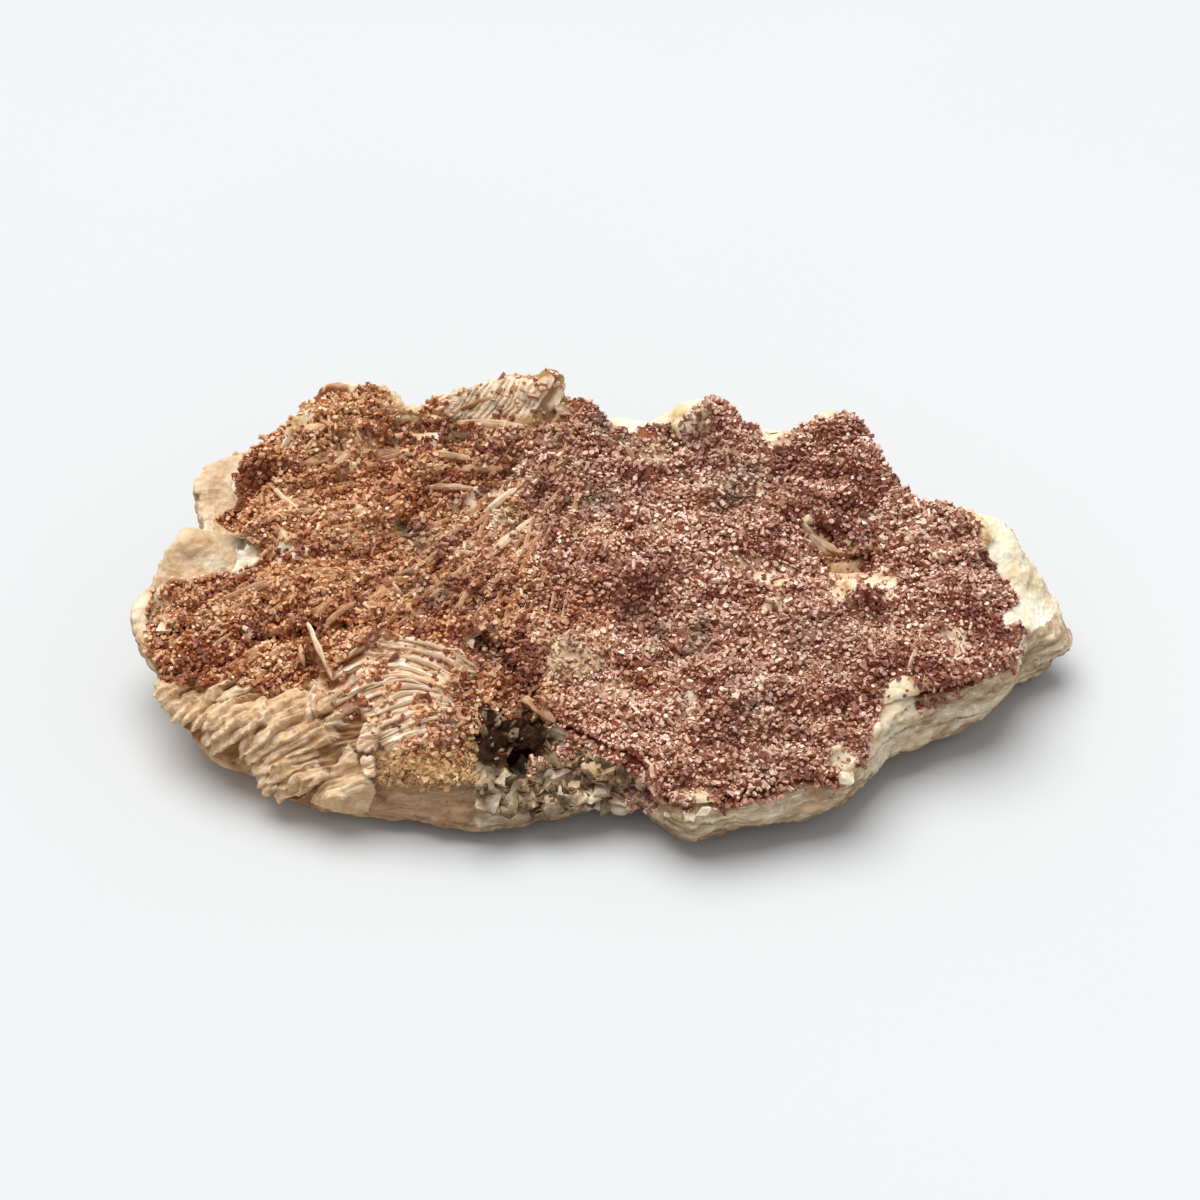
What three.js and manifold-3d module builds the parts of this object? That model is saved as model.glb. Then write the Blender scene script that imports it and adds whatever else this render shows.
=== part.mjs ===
// A vanadinite specimen: a broken slab of cream baryte, bladed at its front left and round its back,
// under a crust of small red-brown vanadinite crystals. The crust stops short of the slab's right end
// and of its front-left flank, and a dark hollow with blocky baryte opens in the front edge.
// Millimetres, +Z up, +X to the right, +Y to the back. The slab rests on its flat underside at z = 0.
import * as THREE from 'three';
import { mergeVertices } from 'three/addons/utils/BufferGeometryUtils.js';
import Module from 'manifold-3d';

const wasm = await Module();
wasm.setup();

// Driving dimensions

const GRID_STEP = 4.7; // spacing of the relief's grid in plan
const GRID_HALF_X = 80; // half the plan that the relief covers
const GRID_HALF_Y = 50;
const SLOPE_STEP = 0.5; // how far apart the bed is sampled to find its slope
const CEILING = 46; // height that the side walls are drawn to before the relief trims them
const CELLAR = -6; // depth that the relief's block reaches before the base trims it

const BED_HEIGHT = 18.5; // height of the bed that the crystals grew on, at the origin
const BED_FALL = 0.18; // how far the bed drops per millimetre towards the front
const BASE_INSET = 7.5; // how far the resting face stands in from the widest line
const WAIST_INSET = 2.6; // the same, part of the way up the undercut
const WAIST_HEIGHT = 0.5; // the waist's height, as a share of the widest line's
const WALL_SAMPLES = 112; // points round each ring of the side wall
const WALL_WOBBLE = 0.7; // unevenness of the walls
const WALL_SWELL = 0.31; // pitch of the wobble's slow swell, in radians per point
const WALL_PITCH = { base: 0.53, waist: 0.9, rim: 0.71 }; // pitch of the wobble of each ring
const WALL_LEAN = 0.06; // how far the walls lean in per millimetre of height
const FLANK_LEAN = 0.62; // the extra lean of the front-left flank, behind its plates
const FLANK_MIDDLE = -46; // the flank's middle along X, and its reach to either side
const FLANK_REACH = 20;

const WELD = 1e-4; // points closer than this are one
const CRUST_THICKNESS = 1.3;
const GAP = 0.35; // clearance between the crust and the baryte under it
const CRYSTAL_COUNT = 60; // the larger vanadinite prisms, which stand out of the crust
const CRYSTAL_SIDES = 6;
const CRYSTAL_RADIUS = [1, 1.7];
const CRYSTAL_HEIGHT = [2.4, 3.4];
const CRYSTAL_LEAN = 0.65; // radians that a prism may lean from the bed's own direction
const CRYSTAL_LIFT = 2.1; // height of a prism's middle above the bed
const CRYSTAL_MARGIN = 0.94; // share of the widest line that the prisms stay inside
const CRYSTAL_SEED = 11;
const SMALLEST_BODY = 25; // cubic millimetres: crumbs under this are left out

const BLADE_SHOULDER = 0.72; // share of a blade's half length where its point begins
const BLADE_SCATTER = [[-2, 2], [-0.9, 0.9], [-0.5, 0.5]]; // along X, Y and Z, at each end
const BLADE_ROLL = [-0.2, 0.2]; // radians
const BLADE_SEED = 7;
const BLOCK_TILT = 0.35; // radians that the blocks in the hollow lean back

// The widest line of the slab, clockwise from the nub at its left: x, y and the height it lies at.
// Round the back it runs along the rim, and along the front below the broken edge.
const WIDEST_LINE = [
  [-74, -4, 13], [-71, 0, 17], [-68.5, 4, 20], [-64.5, 7.5, 22], [-63.5, 14, 18], [-66, 20, 18],
  [-63.5, 24, 20], [-57, 26.5, 22], [-50, 31, 24], [-42, 34.5, 27], [-35, 34.5, 28], [-30, 33, 24],
  [-27, 35, 27], [-20, 35, 29], [-12, 35, 31], [-6, 34.5, 30], [-1, 33.5, 26], [8, 33, 24],
  [13, 35, 26], [18, 35, 26], [23, 33, 23], [31, 31, 22], [37, 32, 24], [42, 30.5, 23], [45, 24.5, 21],
  [50, 16, 20], [56, 13, 19], [65, 12.5, 18], [66, 8.5, 14], [70.5, 7, 11], [73.5, 4.5, 10], [75, 1.8, 9],
  [75.5, -1, 8], [75, -2.5, 6], [73, -4.7, 4.5], [70, -6.2, 4], [66.5, -9.5, 7], [64.5, -17.5, 12],
  [55, -22.5, 8.5], [47.5, -25.5, 5], [42, -31, 6], [39, -38, 9.5], [35, -40, 6.5], [29, -41, 4.5],
  [22, -43.5, 7], [13.5, -45.5, 6.5], [9.5, -43.5, 7.5], [6, -37, 6], [0, -37, 4], [-8, -39, 3],
  [-19, -41, 2.5], [-28, -40, 3], [-39, -38, 3.5], [-46, -37, 4], [-54, -32, 6], [-62, -27, 8],
  [-67, -21.5, 10], [-70, -13, 11], [-73, -8, 12],
];

// Lumps (positive) and hollows (negative) on the bed: place in plan, reach and rise.
const RELIEF = [
  { at: [-40, 32], reach: 10, rise: 5.6 }, // back-left shoulder
  { at: [-12, 33], reach: 9, rise: 9.2 }, // bladed mound at the back
  { at: [15.5, 34], reach: 5, rise: 5 }, // knuckle on the back rim
  { at: [39, 30], reach: 7, rise: 3 }, // back-right corner
  { at: [58, 10], reach: 9, rise: 2 }, // right shoulder
  { at: [75, 8], reach: 7, rise: -10 }, // worn nose of the right end, at its back
  { at: [76, -4], reach: 8, rise: -10 }, // and at its front
  { at: [-65, 5], reach: 6, rise: 5.5 }, // bare knob at the left
  { at: [-58.5, 15], reach: 4.2, rise: -6.5 }, // pocket behind the knob
  { at: [-73, -4], reach: 5, rise: -3.5 }, // left nub
  { at: [-30, 8], reach: 15, rise: -3.2 }, // shallow basin of the left half
  { at: [-31, 15.5], reach: 2.8, rise: -3.5 }, // pinhole in the basin
  { at: [-28, -21], reach: 11, rise: 4.5 }, // hump of stacked blades
  { at: [-66, -22], reach: 8, rise: -3 }, // left flank falling away
  { at: [24, -18], reach: 16, rise: 1.2 }, // swell of the right half
  { at: [38, 6], reach: 4.2, rise: -3.4 }, // open pocket on the right
  { at: [26, -0.5], reach: 3, rise: -2 }, // smaller pocket beside it
  { at: [9, -9], reach: 4, rise: -2.2 }, // dip under the ledge
  { at: [7, -3], reach: 4.5, rise: 1.6 }, // ledge over the dip
  { at: [-8, -38], reach: 6.5, rise: -9 }, // hollow in the front edge
];

// The edge of the vanadinite crust in plan, clockwise from the left, and the bare patches inside it.
const CRUST_EDGE = [
  [-60, 20], [-56, 23], [-49, 30], [-41, 36], [-34, 34], [-29, 31], [-26, 36], [-21, 33], [-19, 27],
  [-6, 25], [-8, 29], [-2, 36], [1, 31], [8, 30], [15, 31], [20, 36], [23, 31], [32, 29], [37, 33],
  [43, 33], [47, 22], [51, 18], [57, 15], [61, 11], [63, 7], [61, 4], [62, -1], [66, -4], [61, -7],
  [66, -10], [64, -17], [56, -24], [50, -23.5], [43, -26], [41, -31], [42, -42], [30, -44], [20, -42],
  [14, -48], [7, -44], [4, -35], [-3, -30], [-9, -26], [-12, -21], [-16, -15], [-24, -12], [-36, -11],
  [-46, -12], [-53, -13], [-62, -11], [-68, -10], [-71, -7], [-71, -3], [-67, -2], [-60, -4], [-56, 7],
  [-58, 15],
];
const BARE_PATCHES = [
  [[32, 9.5], [36, 10.5], [39, 6], [43.5, 4], [43, -1.5], [38, -1], [35, 3]], // open pocket on the right
  [[24, 1.5], [27, 2], [28.5, -1], [26, -2.5], [23.5, -1]], // smaller pocket
];

// Small waves all over the bed: wavelength, heading in radians, and height.
const WAVES = [
  { length: 15, heading: 0.5, height: 0.4 },
  { length: 11, heading: -1.1, height: 0.5 },
  { length: 19, heading: 1.9, height: 0.5 },
];

// Rays of buried blades that ridge the bed of the left half, round the basin.
const ROSETTE = { at: [-24, 3], rays: 15, rise: 1.1, inner: 9, outer: 46 };

// Stacks of baryte blades. Each blade runs from one line to the other, and the stack is dealt out evenly
// between its first and last blade. Ends are given in x, y and z.
const BLADE_STACKS = [
  { // the feather of plates at the front left, which grow up and forwards, edge on to the front
    count: 9, first: [[-41, -31, 11.5], [-21, -37, 9]], last: [[-46, -15, 18.5], [-17, -14.5, 21]],
    width: 7, thickness: 1.5, roll: -0.7,
  },
  { // plates draped down the left flank, from the widest line up to the rim
    count: 10, first: [[-71, -12, 13], [-59, -11, 17]], last: [[-45, -37, 6], [-31, -34, 11]],
    width: 7, thickness: 1.9, roll: -0.3,
  },
  { // blades standing in the mound at the back
    count: 6, first: [[-23, 29, 27], [-20, 34, 31.5]], last: [[-10, 28, 30], [-6, 33.5, 33.5]],
    width: 5, thickness: 1.6, roll: 1.1,
  },
];

// Single blades that lie on the crust or stick out of it: both ends in x, y and lift above the bed.
const SINGLE_BLADES = [
  { from: [-25, 28, 2.2], to: [-9, 26, 1.8], width: 3.4, thickness: 1.8 }, // long blade under the mound
  { from: [-18, 3, 1.8], to: [-6.5, 12, 4.2], width: 3.2, thickness: 1.8 }, // bare blade at the middle
  { from: [-20, 11, 1.8], to: [-12, 17.5, 3.8], width: 3.4, thickness: 1.7 }, // its neighbour
  { from: [-52.5, 19, 2.4], to: [-47, 11, 2.4], width: 1.8, thickness: 1.4 }, // sliver at the left
  { from: [-44, 20, 2.2], to: [-38, 29, 2.6], width: 2.2, thickness: 1.6 }, // sliver below the shoulder
  { from: [-43, -12, 3.4], to: [-40.5, -23, 3.2], width: 1.8, thickness: 1.5 }, // sliver by the feather
];

// Blocky baryte in the front hollow: place, size and turn about the vertical, in radians.
const HOLLOW_BLOCKS = [
  { at: [-13, -37, 5], size: [5, 4, 6], turn: 0.5 },
  { at: [-8.5, -36.5, 4.5], size: [6, 4, 5.5], turn: -0.5 },
  { at: [-3.5, -36, 5.5], size: [5.5, 4, 6], turn: 0.9 },
  { at: [0, -33, 6.5], size: [7, 4, 7], turn: 0.3 },
  { at: [3, -36, 5], size: [5, 4, 5], turn: -0.3 },
  { at: [-7, -32.5, 7], size: [6, 4, 6], turn: 0.2 },
];
// The undercut at the back of the hollow: place, radii, and facets round it and up it.
const CAVE = { at: [-12, -32, 7.5], radius: [5, 5, 3.2], around: 10, upright: 6 };

// Repeatable random numbers: a call with a seed starts a new row of them.
const random = THREE.MathUtils.seededRandom;
const pick = ([low, high]) => low + (high - low) * random();

const UP = new THREE.Vector3(0, 0, 1);

// Solids and meshes

function solidOf(geometry) {
  const bare = geometry.index ? geometry.toNonIndexed() : geometry.clone();
  for (const name of Object.keys(bare.attributes)) {
    if (name !== 'position') bare.deleteAttribute(name);
  }
  const merged = mergeVertices(bare, WELD);
  return new wasm.Manifold(new wasm.Mesh({
    numProp: 3,
    vertProperties: new Float32Array(merged.attributes.position.array),
    triVerts: new Uint32Array(merged.index.array),
  }));
}

function meshOf(solid, name, material) {
  const made = solid.getMesh();
  const geometry = new THREE.BufferGeometry();
  geometry.setAttribute('position', new THREE.BufferAttribute(new Float32Array(made.vertProperties), 3));
  geometry.setIndex(new THREE.BufferAttribute(new Uint32Array(made.triVerts), 1));
  geometry.computeVertexNormals();
  const mesh = new THREE.Mesh(geometry, material);
  mesh.name = name;
  return mesh;
}

function geometryOf(points, triangles) {
  const geometry = new THREE.BufferGeometry();
  geometry.setAttribute('position', new THREE.Float32BufferAttribute(points.flat(), 3));
  geometry.setIndex(triangles.flat());
  return geometry;
}

const joinAll = (solids) => solids.reduce((sum, solid) => sum.add(solid));

// The bodies of a solid, largest first, without crumbs and with gaps sealed inside them filled
function bodiesOf(solid) {
  const bodies = solid.decompose().filter((body) => body.volume() > SMALLEST_BODY);
  return bodies.sort((a, b) => b.volume() - a.volume());
}

// The bed: its height and its upward direction at any place in plan

// The rosette's rays fade in from its middle, and out to its right and past its reach.
function rosetteHeight(dx, dy) {
  const radius = Math.hypot(dx, dy);
  const ring = THREE.MathUtils.smoothstep(radius, 0, ROSETTE.inner)
    * (1 - THREE.MathUtils.smoothstep(radius, ROSETTE.inner, ROSETTE.outer));
  const leftward = THREE.MathUtils.smoothstep(-dx, -ROSETTE.inner, ROSETTE.inner);
  return ROSETTE.rise * ring * leftward * Math.cos(ROSETTE.rays * Math.atan2(dy, dx));
}

function bedHeight(x, y) {
  let z = BED_HEIGHT + BED_FALL * y;
  for (const { at, reach, rise } of RELIEF) {
    z += rise * Math.exp(-((x - at[0]) ** 2 + (y - at[1]) ** 2) / reach ** 2);
  }
  for (const { length, heading, height } of WAVES) {
    const along = x * Math.cos(heading) + y * Math.sin(heading);
    z += height * Math.sin((2 * Math.PI * along) / length);
  }
  return z + rosetteHeight(x - ROSETTE.at[0], y - ROSETTE.at[1]);
}

function bedNormal(x, y) {
  const slopeX = (bedHeight(x + SLOPE_STEP, y) - bedHeight(x - SLOPE_STEP, y)) / (2 * SLOPE_STEP);
  const slopeY = (bedHeight(x, y + SLOPE_STEP) - bedHeight(x, y - SLOPE_STEP)) / (2 * SLOPE_STEP);
  return new THREE.Vector3(-slopeX, -slopeY, 1).normalize();
}

// A closed sheet over the whole plan, between two heights given by functions of the place
function sheetSolid(bottomAt, topAt) {
  const columns = Math.round((2 * GRID_HALF_X) / GRID_STEP);
  const rows = Math.round((2 * GRID_HALF_Y) / GRID_STEP);
  const points = [];
  const triangles = [];
  for (const heightAt of [bottomAt, topAt]) {
    for (let row = 0; row <= rows; row += 1) {
      for (let column = 0; column <= columns; column += 1) {
        const x = -GRID_HALF_X + (2 * GRID_HALF_X * column) / columns;
        const y = -GRID_HALF_Y + (2 * GRID_HALF_Y * row) / rows;
        points.push([x, y, heightAt(x, y)]);
      }
    }
  }
  const layer = (columns + 1) * (rows + 1);
  const quad = (a, b, c, d) => triangles.push([a, b, c], [a, c, d]);
  for (let row = 0; row < rows; row += 1) {
    for (let column = 0; column < columns; column += 1) {
      const a = row * (columns + 1) + column;
      const [b, c, d] = [a + 1, a + columns + 2, a + columns + 1];
      quad(layer + a, layer + b, layer + c, layer + d);
      quad(a, d, c, b);
    }
  }
  const border = [];
  for (let column = 0; column < columns; column += 1) border.push(column);
  for (let row = 0; row < rows; row += 1) border.push(row * (columns + 1) + columns);
  for (let column = columns; column > 0; column -= 1) border.push(rows * (columns + 1) + column);
  for (let row = rows; row > 0; row -= 1) border.push(row * (columns + 1));
  border.forEach((from, i) => {
    const to = border[(i + 1) % border.length];
    quad(from, to, layer + to, layer + from);
  });
  return solidOf(geometryOf(points, triangles));
}

// Side walls: rings from the resting face out to the widest line and up past the rim

// How far the wall leans in per millimetre of height: the front-left flank slopes, the rest is steep.
function wallLean(x, y) {
  const flank = y < 0 ? Math.exp(-(((x - FLANK_MIDDLE) / FLANK_REACH) ** 2)) : 0;
  return WALL_LEAN + FLANK_LEAN * flank;
}

function wallSolid() {
  const line = new THREE.CatmullRomCurve3(
    WIDEST_LINE.map(([x, y, z]) => new THREE.Vector3(x, y, z)), true, 'centripetal',
  );
  const widest = line.getSpacedPoints(WALL_SAMPLES).slice(0, WALL_SAMPLES);
  const inset = ({ x, y }, distance, z) => {
    const scale = 1 - distance / Math.hypot(x, y);
    return [x * scale, y * scale, z];
  };
  const wobble = (i, pitch) => WALL_WOBBLE * Math.sin(i * pitch) * Math.cos(i * WALL_SWELL);
  const rings = [
    widest.map((p, i) => inset(p, BASE_INSET + wobble(i, WALL_PITCH.base), 0)),
    widest.map((p, i) => inset(p, WAIST_INSET + wobble(i, WALL_PITCH.waist), p.z * WAIST_HEIGHT)),
    widest.map((p) => inset(p, 0, p.z)),
    widest.map((p, i) => {
      const lean = wallLean(p.x, p.y) * (CEILING - p.z);
      return inset(p, lean + wobble(i, WALL_PITCH.rim), CEILING);
    }),
  ];
  const triangles = [];
  for (let start = 0; start < WALL_SAMPLES * (rings.length - 1); start += WALL_SAMPLES) {
    for (let i = 0; i < WALL_SAMPLES; i += 1) {
      const a = start + i;
      const b = start + ((i + 1) % WALL_SAMPLES);
      triangles.push([a, a + WALL_SAMPLES, b + WALL_SAMPLES], [a, b + WALL_SAMPLES, b]);
    }
  }
  const capOf = (ring) => THREE.ShapeUtils
    .triangulateShape(rings[ring].map(([x, y]) => new THREE.Vector2(x, y)), [])
    .map((face) => face.map((i) => ring * WALL_SAMPLES + i));
  triangles.push(...capOf(0).map(([a, b, c]) => [c, b, a]), ...capOf(rings.length - 1));
  return solidOf(geometryOf(rings.flat(), triangles));
}

// Baryte blades: flat six-sided plates with pointed ends

const onBed = ([x, y, lift]) => new THREE.Vector3(x, y, bedHeight(x, y) + lift);

// A plate between two points, rolled about its own length, and grown by a clearance on every side
function bladeSolid({ from, to, width, thickness, roll = 0 }, grow = 0) {
  const along = to.clone().sub(from);
  const half = along.length() / 2 + grow;
  const side = width / 2 + grow;
  const outline = new THREE.Shape([
    new THREE.Vector2(-half, 0),
    new THREE.Vector2(-half * BLADE_SHOULDER, -side),
    new THREE.Vector2(half * BLADE_SHOULDER, -side),
    new THREE.Vector2(half, 0),
    new THREE.Vector2(half * BLADE_SHOULDER, side),
    new THREE.Vector2(-half * BLADE_SHOULDER, side),
  ]);
  const depth = thickness + 2 * grow;
  const plate = new THREE.ExtrudeGeometry(outline, { depth, bevelEnabled: false, steps: 1 });
  plate.translate(0, 0, -depth / 2);
  plate.rotateX(roll);
  const lengthwise = along.normalize();
  const crosswise = UP.clone().cross(lengthwise).normalize();
  const upward = lengthwise.clone().cross(crosswise);
  plate.applyMatrix4(new THREE.Matrix4().makeBasis(lengthwise, crosswise, upward));
  const middle = from.clone().add(to).multiplyScalar(0.5);
  plate.translate(middle.x, middle.y, middle.z);
  return solidOf(plate);
}

function bladesOfStack({ count, first, last, width, thickness, roll }) {
  const blades = [];
  for (let i = 0; i < count; i += 1) {
    const share = i / (count - 1);
    const end = (k) => new THREE.Vector3(...first[k].map((value, axis) => (
      value + (last[k][axis] - value) * share + pick(BLADE_SCATTER[axis])
    )));
    blades.push({ from: end(0), to: end(1), width, thickness, roll: roll + pick(BLADE_ROLL) });
  }
  return blades;
}

function allBlades() {
  random(BLADE_SEED);
  const stacked = BLADE_STACKS.flatMap(bladesOfStack);
  const single = SINGLE_BLADES.map((blade) => ({ ...blade, from: onBed(blade.from), to: onBed(blade.to) }));
  return [...stacked, ...single];
}

function blockSolid({ at, size, turn }) {
  const block = new THREE.BoxGeometry(...size);
  block.rotateX(BLOCK_TILT);
  block.rotateZ(turn);
  block.translate(...at);
  return solidOf(block);
}

function caveSolid() {
  const cave = new THREE.SphereGeometry(1, CAVE.around, CAVE.upright);
  cave.scale(...CAVE.radius);
  cave.translate(...CAVE.at);
  return solidOf(cave);
}

function baryteSolid(wall, blades) {
  const slab = sheetSolid(() => CELLAR, bedHeight).intersect(wall).subtract(caveSolid());
  const grown = [...blades.map((blade) => bladeSolid(blade)), ...HOLLOW_BLOCKS.map(blockSolid)];
  return bodiesOf(joinAll([slab, ...grown]))[0];
}

// The vanadinite crust: a layer on the bed inside the crust's edge, with prisms standing out of it

// An upright prism over a loop of plan points, from the resting face to above the rim
function prismOver(loop) {
  const shape = new THREE.Shape(loop.map(([x, y]) => new THREE.Vector2(x, y)));
  return solidOf(new THREE.ExtrudeGeometry(shape, { depth: CEILING, bevelEnabled: false, steps: 1 }));
}

function insideLoop([x, y], loop) {
  let inside = false;
  loop.forEach(([x1, y1], i) => {
    const [x2, y2] = loop[(i + 1) % loop.length];
    if (y1 > y !== y2 > y && x < x1 + ((x2 - x1) * (y - y1)) / (y2 - y1)) inside = !inside;
  });
  return inside;
}

// A six-sided prism standing on the bed, leaning a little from the bed's own direction
function crystalSolid(x, y) {
  const radius = pick(CRYSTAL_RADIUS);
  const height = pick(CRYSTAL_HEIGHT);
  const corners = Array.from({ length: CRYSTAL_SIDES }, (_, i) => {
    const angle = (2 * Math.PI * i) / CRYSTAL_SIDES;
    return new THREE.Vector2(radius * Math.cos(angle), radius * Math.sin(angle));
  });
  const outline = new THREE.Shape(corners);
  const prism = new THREE.ExtrudeGeometry(outline, { depth: height, bevelEnabled: false, steps: 1 });
  prism.translate(0, 0, -height / 2);
  prism.rotateZ(random() * Math.PI);
  prism.rotateX(pick([-CRYSTAL_LEAN, CRYSTAL_LEAN]));
  prism.rotateY(pick([-CRYSTAL_LEAN, CRYSTAL_LEAN]));
  prism.applyQuaternion(new THREE.Quaternion().setFromUnitVectors(UP, bedNormal(x, y)));
  prism.translate(x, y, bedHeight(x, y) + CRYSTAL_LIFT);
  return solidOf(prism);
}

function crystalSolids() {
  random(CRYSTAL_SEED);
  const rim = WIDEST_LINE.map(([x, y]) => [x * CRYSTAL_MARGIN, y * CRYSTAL_MARGIN]);
  const crystals = [];
  while (crystals.length < CRYSTAL_COUNT) {
    const place = [pick([-GRID_HALF_X, GRID_HALF_X]), pick([-GRID_HALF_Y, GRID_HALF_Y])];
    const bare = BARE_PATCHES.some((patch) => insideLoop(place, patch));
    if (insideLoop(place, CRUST_EDGE) && insideLoop(place, rim) && !bare) {
      crystals.push(crystalSolid(...place));
    }
  }
  return crystals;
}

// The largest body is the crust itself, and what the blades cut off from it are patches of their own.
function crustBodies(wall, blades) {
  const region = prismOver(CRUST_EDGE).subtract(joinAll(BARE_PATCHES.map(prismOver)));
  const layer = sheetSolid(
    (x, y) => bedHeight(x, y) - CRUST_THICKNESS,
    (x, y) => bedHeight(x, y) + CRUST_THICKNESS,
  );
  const grown = sheetSolid(() => CELLAR, (x, y) => bedHeight(x, y) + GAP);
  const crust = joinAll([layer.intersect(region).intersect(wall), ...crystalSolids()])
    .subtract(joinAll([grown, ...blades.map((blade) => bladeSolid(blade, GAP))]));
  return bodiesOf(crust);
}

// The specimen

const wall = wallSolid();
const blades = allBlades();
const baryte = new THREE.MeshStandardMaterial({ color: 0xd9bd96, roughness: 0.75, metalness: 0 });
const vanadinite = new THREE.MeshStandardMaterial({ color: 0x9a4a30, roughness: 0.35, metalness: 0 });

const specimen = new THREE.Group();
specimen.name = 'vanadinite_specimen';
specimen.add(meshOf(baryteSolid(wall, blades), 'baryte_matrix', baryte));
crustBodies(wall, blades).forEach((body, i) => {
  specimen.add(meshOf(body, i === 0 ? 'vanadinite_crust' : `vanadinite_patch_${i}`, vanadinite));
});

export default specimen;
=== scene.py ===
# %% [markdown]
# # A vanadinite specimen
# This is a broken slab of cream baryte under a druse, a crust of thousands of small red-brown vanadinite
# crystals. At its front left the baryte stands out in stacked plates like a feather, its left flank hangs
# in folds, and its right end is bare. The solid model gives the slab and the crust at their real size.
# This lesson dresses them: it roughens the rock, sets the blades of baryte, grows the crystals and gives
# each mineral its finish.

# %% Load the frame
import itertools
import math

import bmesh
import bpy
import numpy as np
from mathutils import Euler, Matrix, Vector
from mathutils.bvhtree import BVHTree


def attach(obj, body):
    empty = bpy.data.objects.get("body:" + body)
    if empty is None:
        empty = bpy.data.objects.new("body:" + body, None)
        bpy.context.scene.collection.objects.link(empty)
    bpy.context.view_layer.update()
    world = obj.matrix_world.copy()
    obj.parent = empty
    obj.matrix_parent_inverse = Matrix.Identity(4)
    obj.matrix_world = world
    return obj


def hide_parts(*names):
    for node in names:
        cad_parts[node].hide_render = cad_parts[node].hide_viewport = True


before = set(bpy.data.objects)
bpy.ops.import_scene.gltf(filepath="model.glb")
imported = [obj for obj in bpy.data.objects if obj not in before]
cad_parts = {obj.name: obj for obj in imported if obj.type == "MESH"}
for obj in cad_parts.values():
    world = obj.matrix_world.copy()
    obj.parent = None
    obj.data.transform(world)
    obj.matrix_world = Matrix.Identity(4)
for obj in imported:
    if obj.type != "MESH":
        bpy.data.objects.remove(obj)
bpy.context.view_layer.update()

MM = 0.001  # Blender counts in metres, and this lesson's sizes are in millimetres
matrix_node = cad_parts["baryte_matrix"]
crust_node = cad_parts["vanadinite_crust"]

# %% [markdown]
# ## Camera
# The photo looks down at the specimen from about 40 degrees, from its long front side, with a long lens.
# The lens follows from how many pixels a millimetre of the specimen takes at the point it aims at, so the
# outline falls where it does in the photo.

# %% Camera
VIEW_ELEVATION = math.radians(40)
VIEW_DISTANCE = 600
AIM_HEIGHT = 14
IMAGE_SIDE = 1200  # pixels
PIXELS_PER_MM = 6.32
SENSOR = 36

camera_data = bpy.data.cameras.new("camera")
camera_data.sensor_width = SENSOR
camera_data.lens = SENSOR * PIXELS_PER_MM * VIEW_DISTANCE / IMAGE_SIDE
camera = bpy.data.objects.new("camera", camera_data)
bpy.context.scene.collection.objects.link(camera)
towards_viewer = Vector((0, -math.cos(VIEW_ELEVATION), math.sin(VIEW_ELEVATION)))
camera.location = (Vector((0, 0, AIM_HEIGHT)) + VIEW_DISTANCE * towards_viewer) * MM
camera.rotation_euler = (-towards_viewer).to_track_quat("-Z", "Y").to_euler()
bpy.context.scene.camera = camera
print("lens:", round(camera_data.lens, 1), "mm")

# %% [markdown]
# ## Tracing the photo
# Blades, chips and hollows sit at places of their own, and the surest way to find them is to trace them. A
# pixel of the photo is a straight line out of the camera, and where that line meets the rock is the place.
# The reverse, from a place to its pixel, tells which parts of the rock lie inside an outline that was
# traced.

# %% From pixels to places and back
FOCAL = PIXELS_PER_MM * VIEW_DISTANCE  # in pixels
EYE = np.array(camera.location) / MM
LOOK_RIGHT = np.array([1.0, 0.0, 0.0])
LOOK_UP = np.array([0.0, math.sin(VIEW_ELEVATION), math.cos(VIEW_ELEVATION)])
LOOK_AHEAD = -np.array(towards_viewer)


def pixel_of(points):
    """The pixels at which the camera sees some points."""
    arm = points - EYE
    far = arm @ LOOK_AHEAD
    return np.stack([IMAGE_SIDE / 2 + FOCAL * (arm @ LOOK_RIGHT) / far,
                     IMAGE_SIDE / 2 - FOCAL * (arm @ LOOK_UP) / far], axis=1)


def seen_at(surface, pixels):
    """The places on a surface that the camera sees at some pixels, in millimetres."""
    places = []
    for u, v in pixels:
        ray = FOCAL * LOOK_AHEAD + (u - IMAGE_SIDE / 2) * LOOK_RIGHT + (IMAGE_SIDE / 2 - v) * LOOK_UP
        hit = surface.ray_cast(EYE, ray)[0]
        if hit is not None:
            places.append(hit)
    return np.array(places)


def inside(pixels, outline):
    """Whether each pixel lies inside an outline: a line to its right crosses it an odd number of times."""
    u, v = pixels[:, 0, None], pixels[:, 1, None]
    here = np.array(outline, float)
    there = np.roll(here, -1, axis=0)
    spans = (here[:, 1] > v) != (there[:, 1] > v)
    rise = np.where(there[:, 1] == here[:, 1], 1e-9, there[:, 1] - here[:, 1])
    crossing = here[:, 0] + (v - here[:, 1]) * (there[:, 0] - here[:, 0]) / rise
    return (spans & (u < crossing)).sum(axis=1) % 2 == 1


print("the aim point is seen at pixel", pixel_of(np.array([[0, 0, AIM_HEIGHT]]))[0].round(1))

# %% [markdown]
# ## Colours and nodes
# Every colour below is an sRGB hex value, as a picture editor shows it, and one function turns it into the
# linear numbers that shaders use. One more function adds any shader node: settings by name, and a
# dictionary of sockets, where a value is typed in and another node's output is linked. Every stone's nodes
# end alike, in a roughness and a bump that follow its grain, so a last function builds that end.

# %% Helpers for materials
bpy.context.scene.view_settings.view_transform = "Standard"


def linear(hex_code):
    srgb = [int(hex_code[i : i + 2], 16) / 255 for i in (1, 3, 5)]
    return [c / 12.92 if c <= 0.04045 else ((c + 0.055) / 1.055) ** 2.4 for c in srgb] + [1.0]


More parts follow.
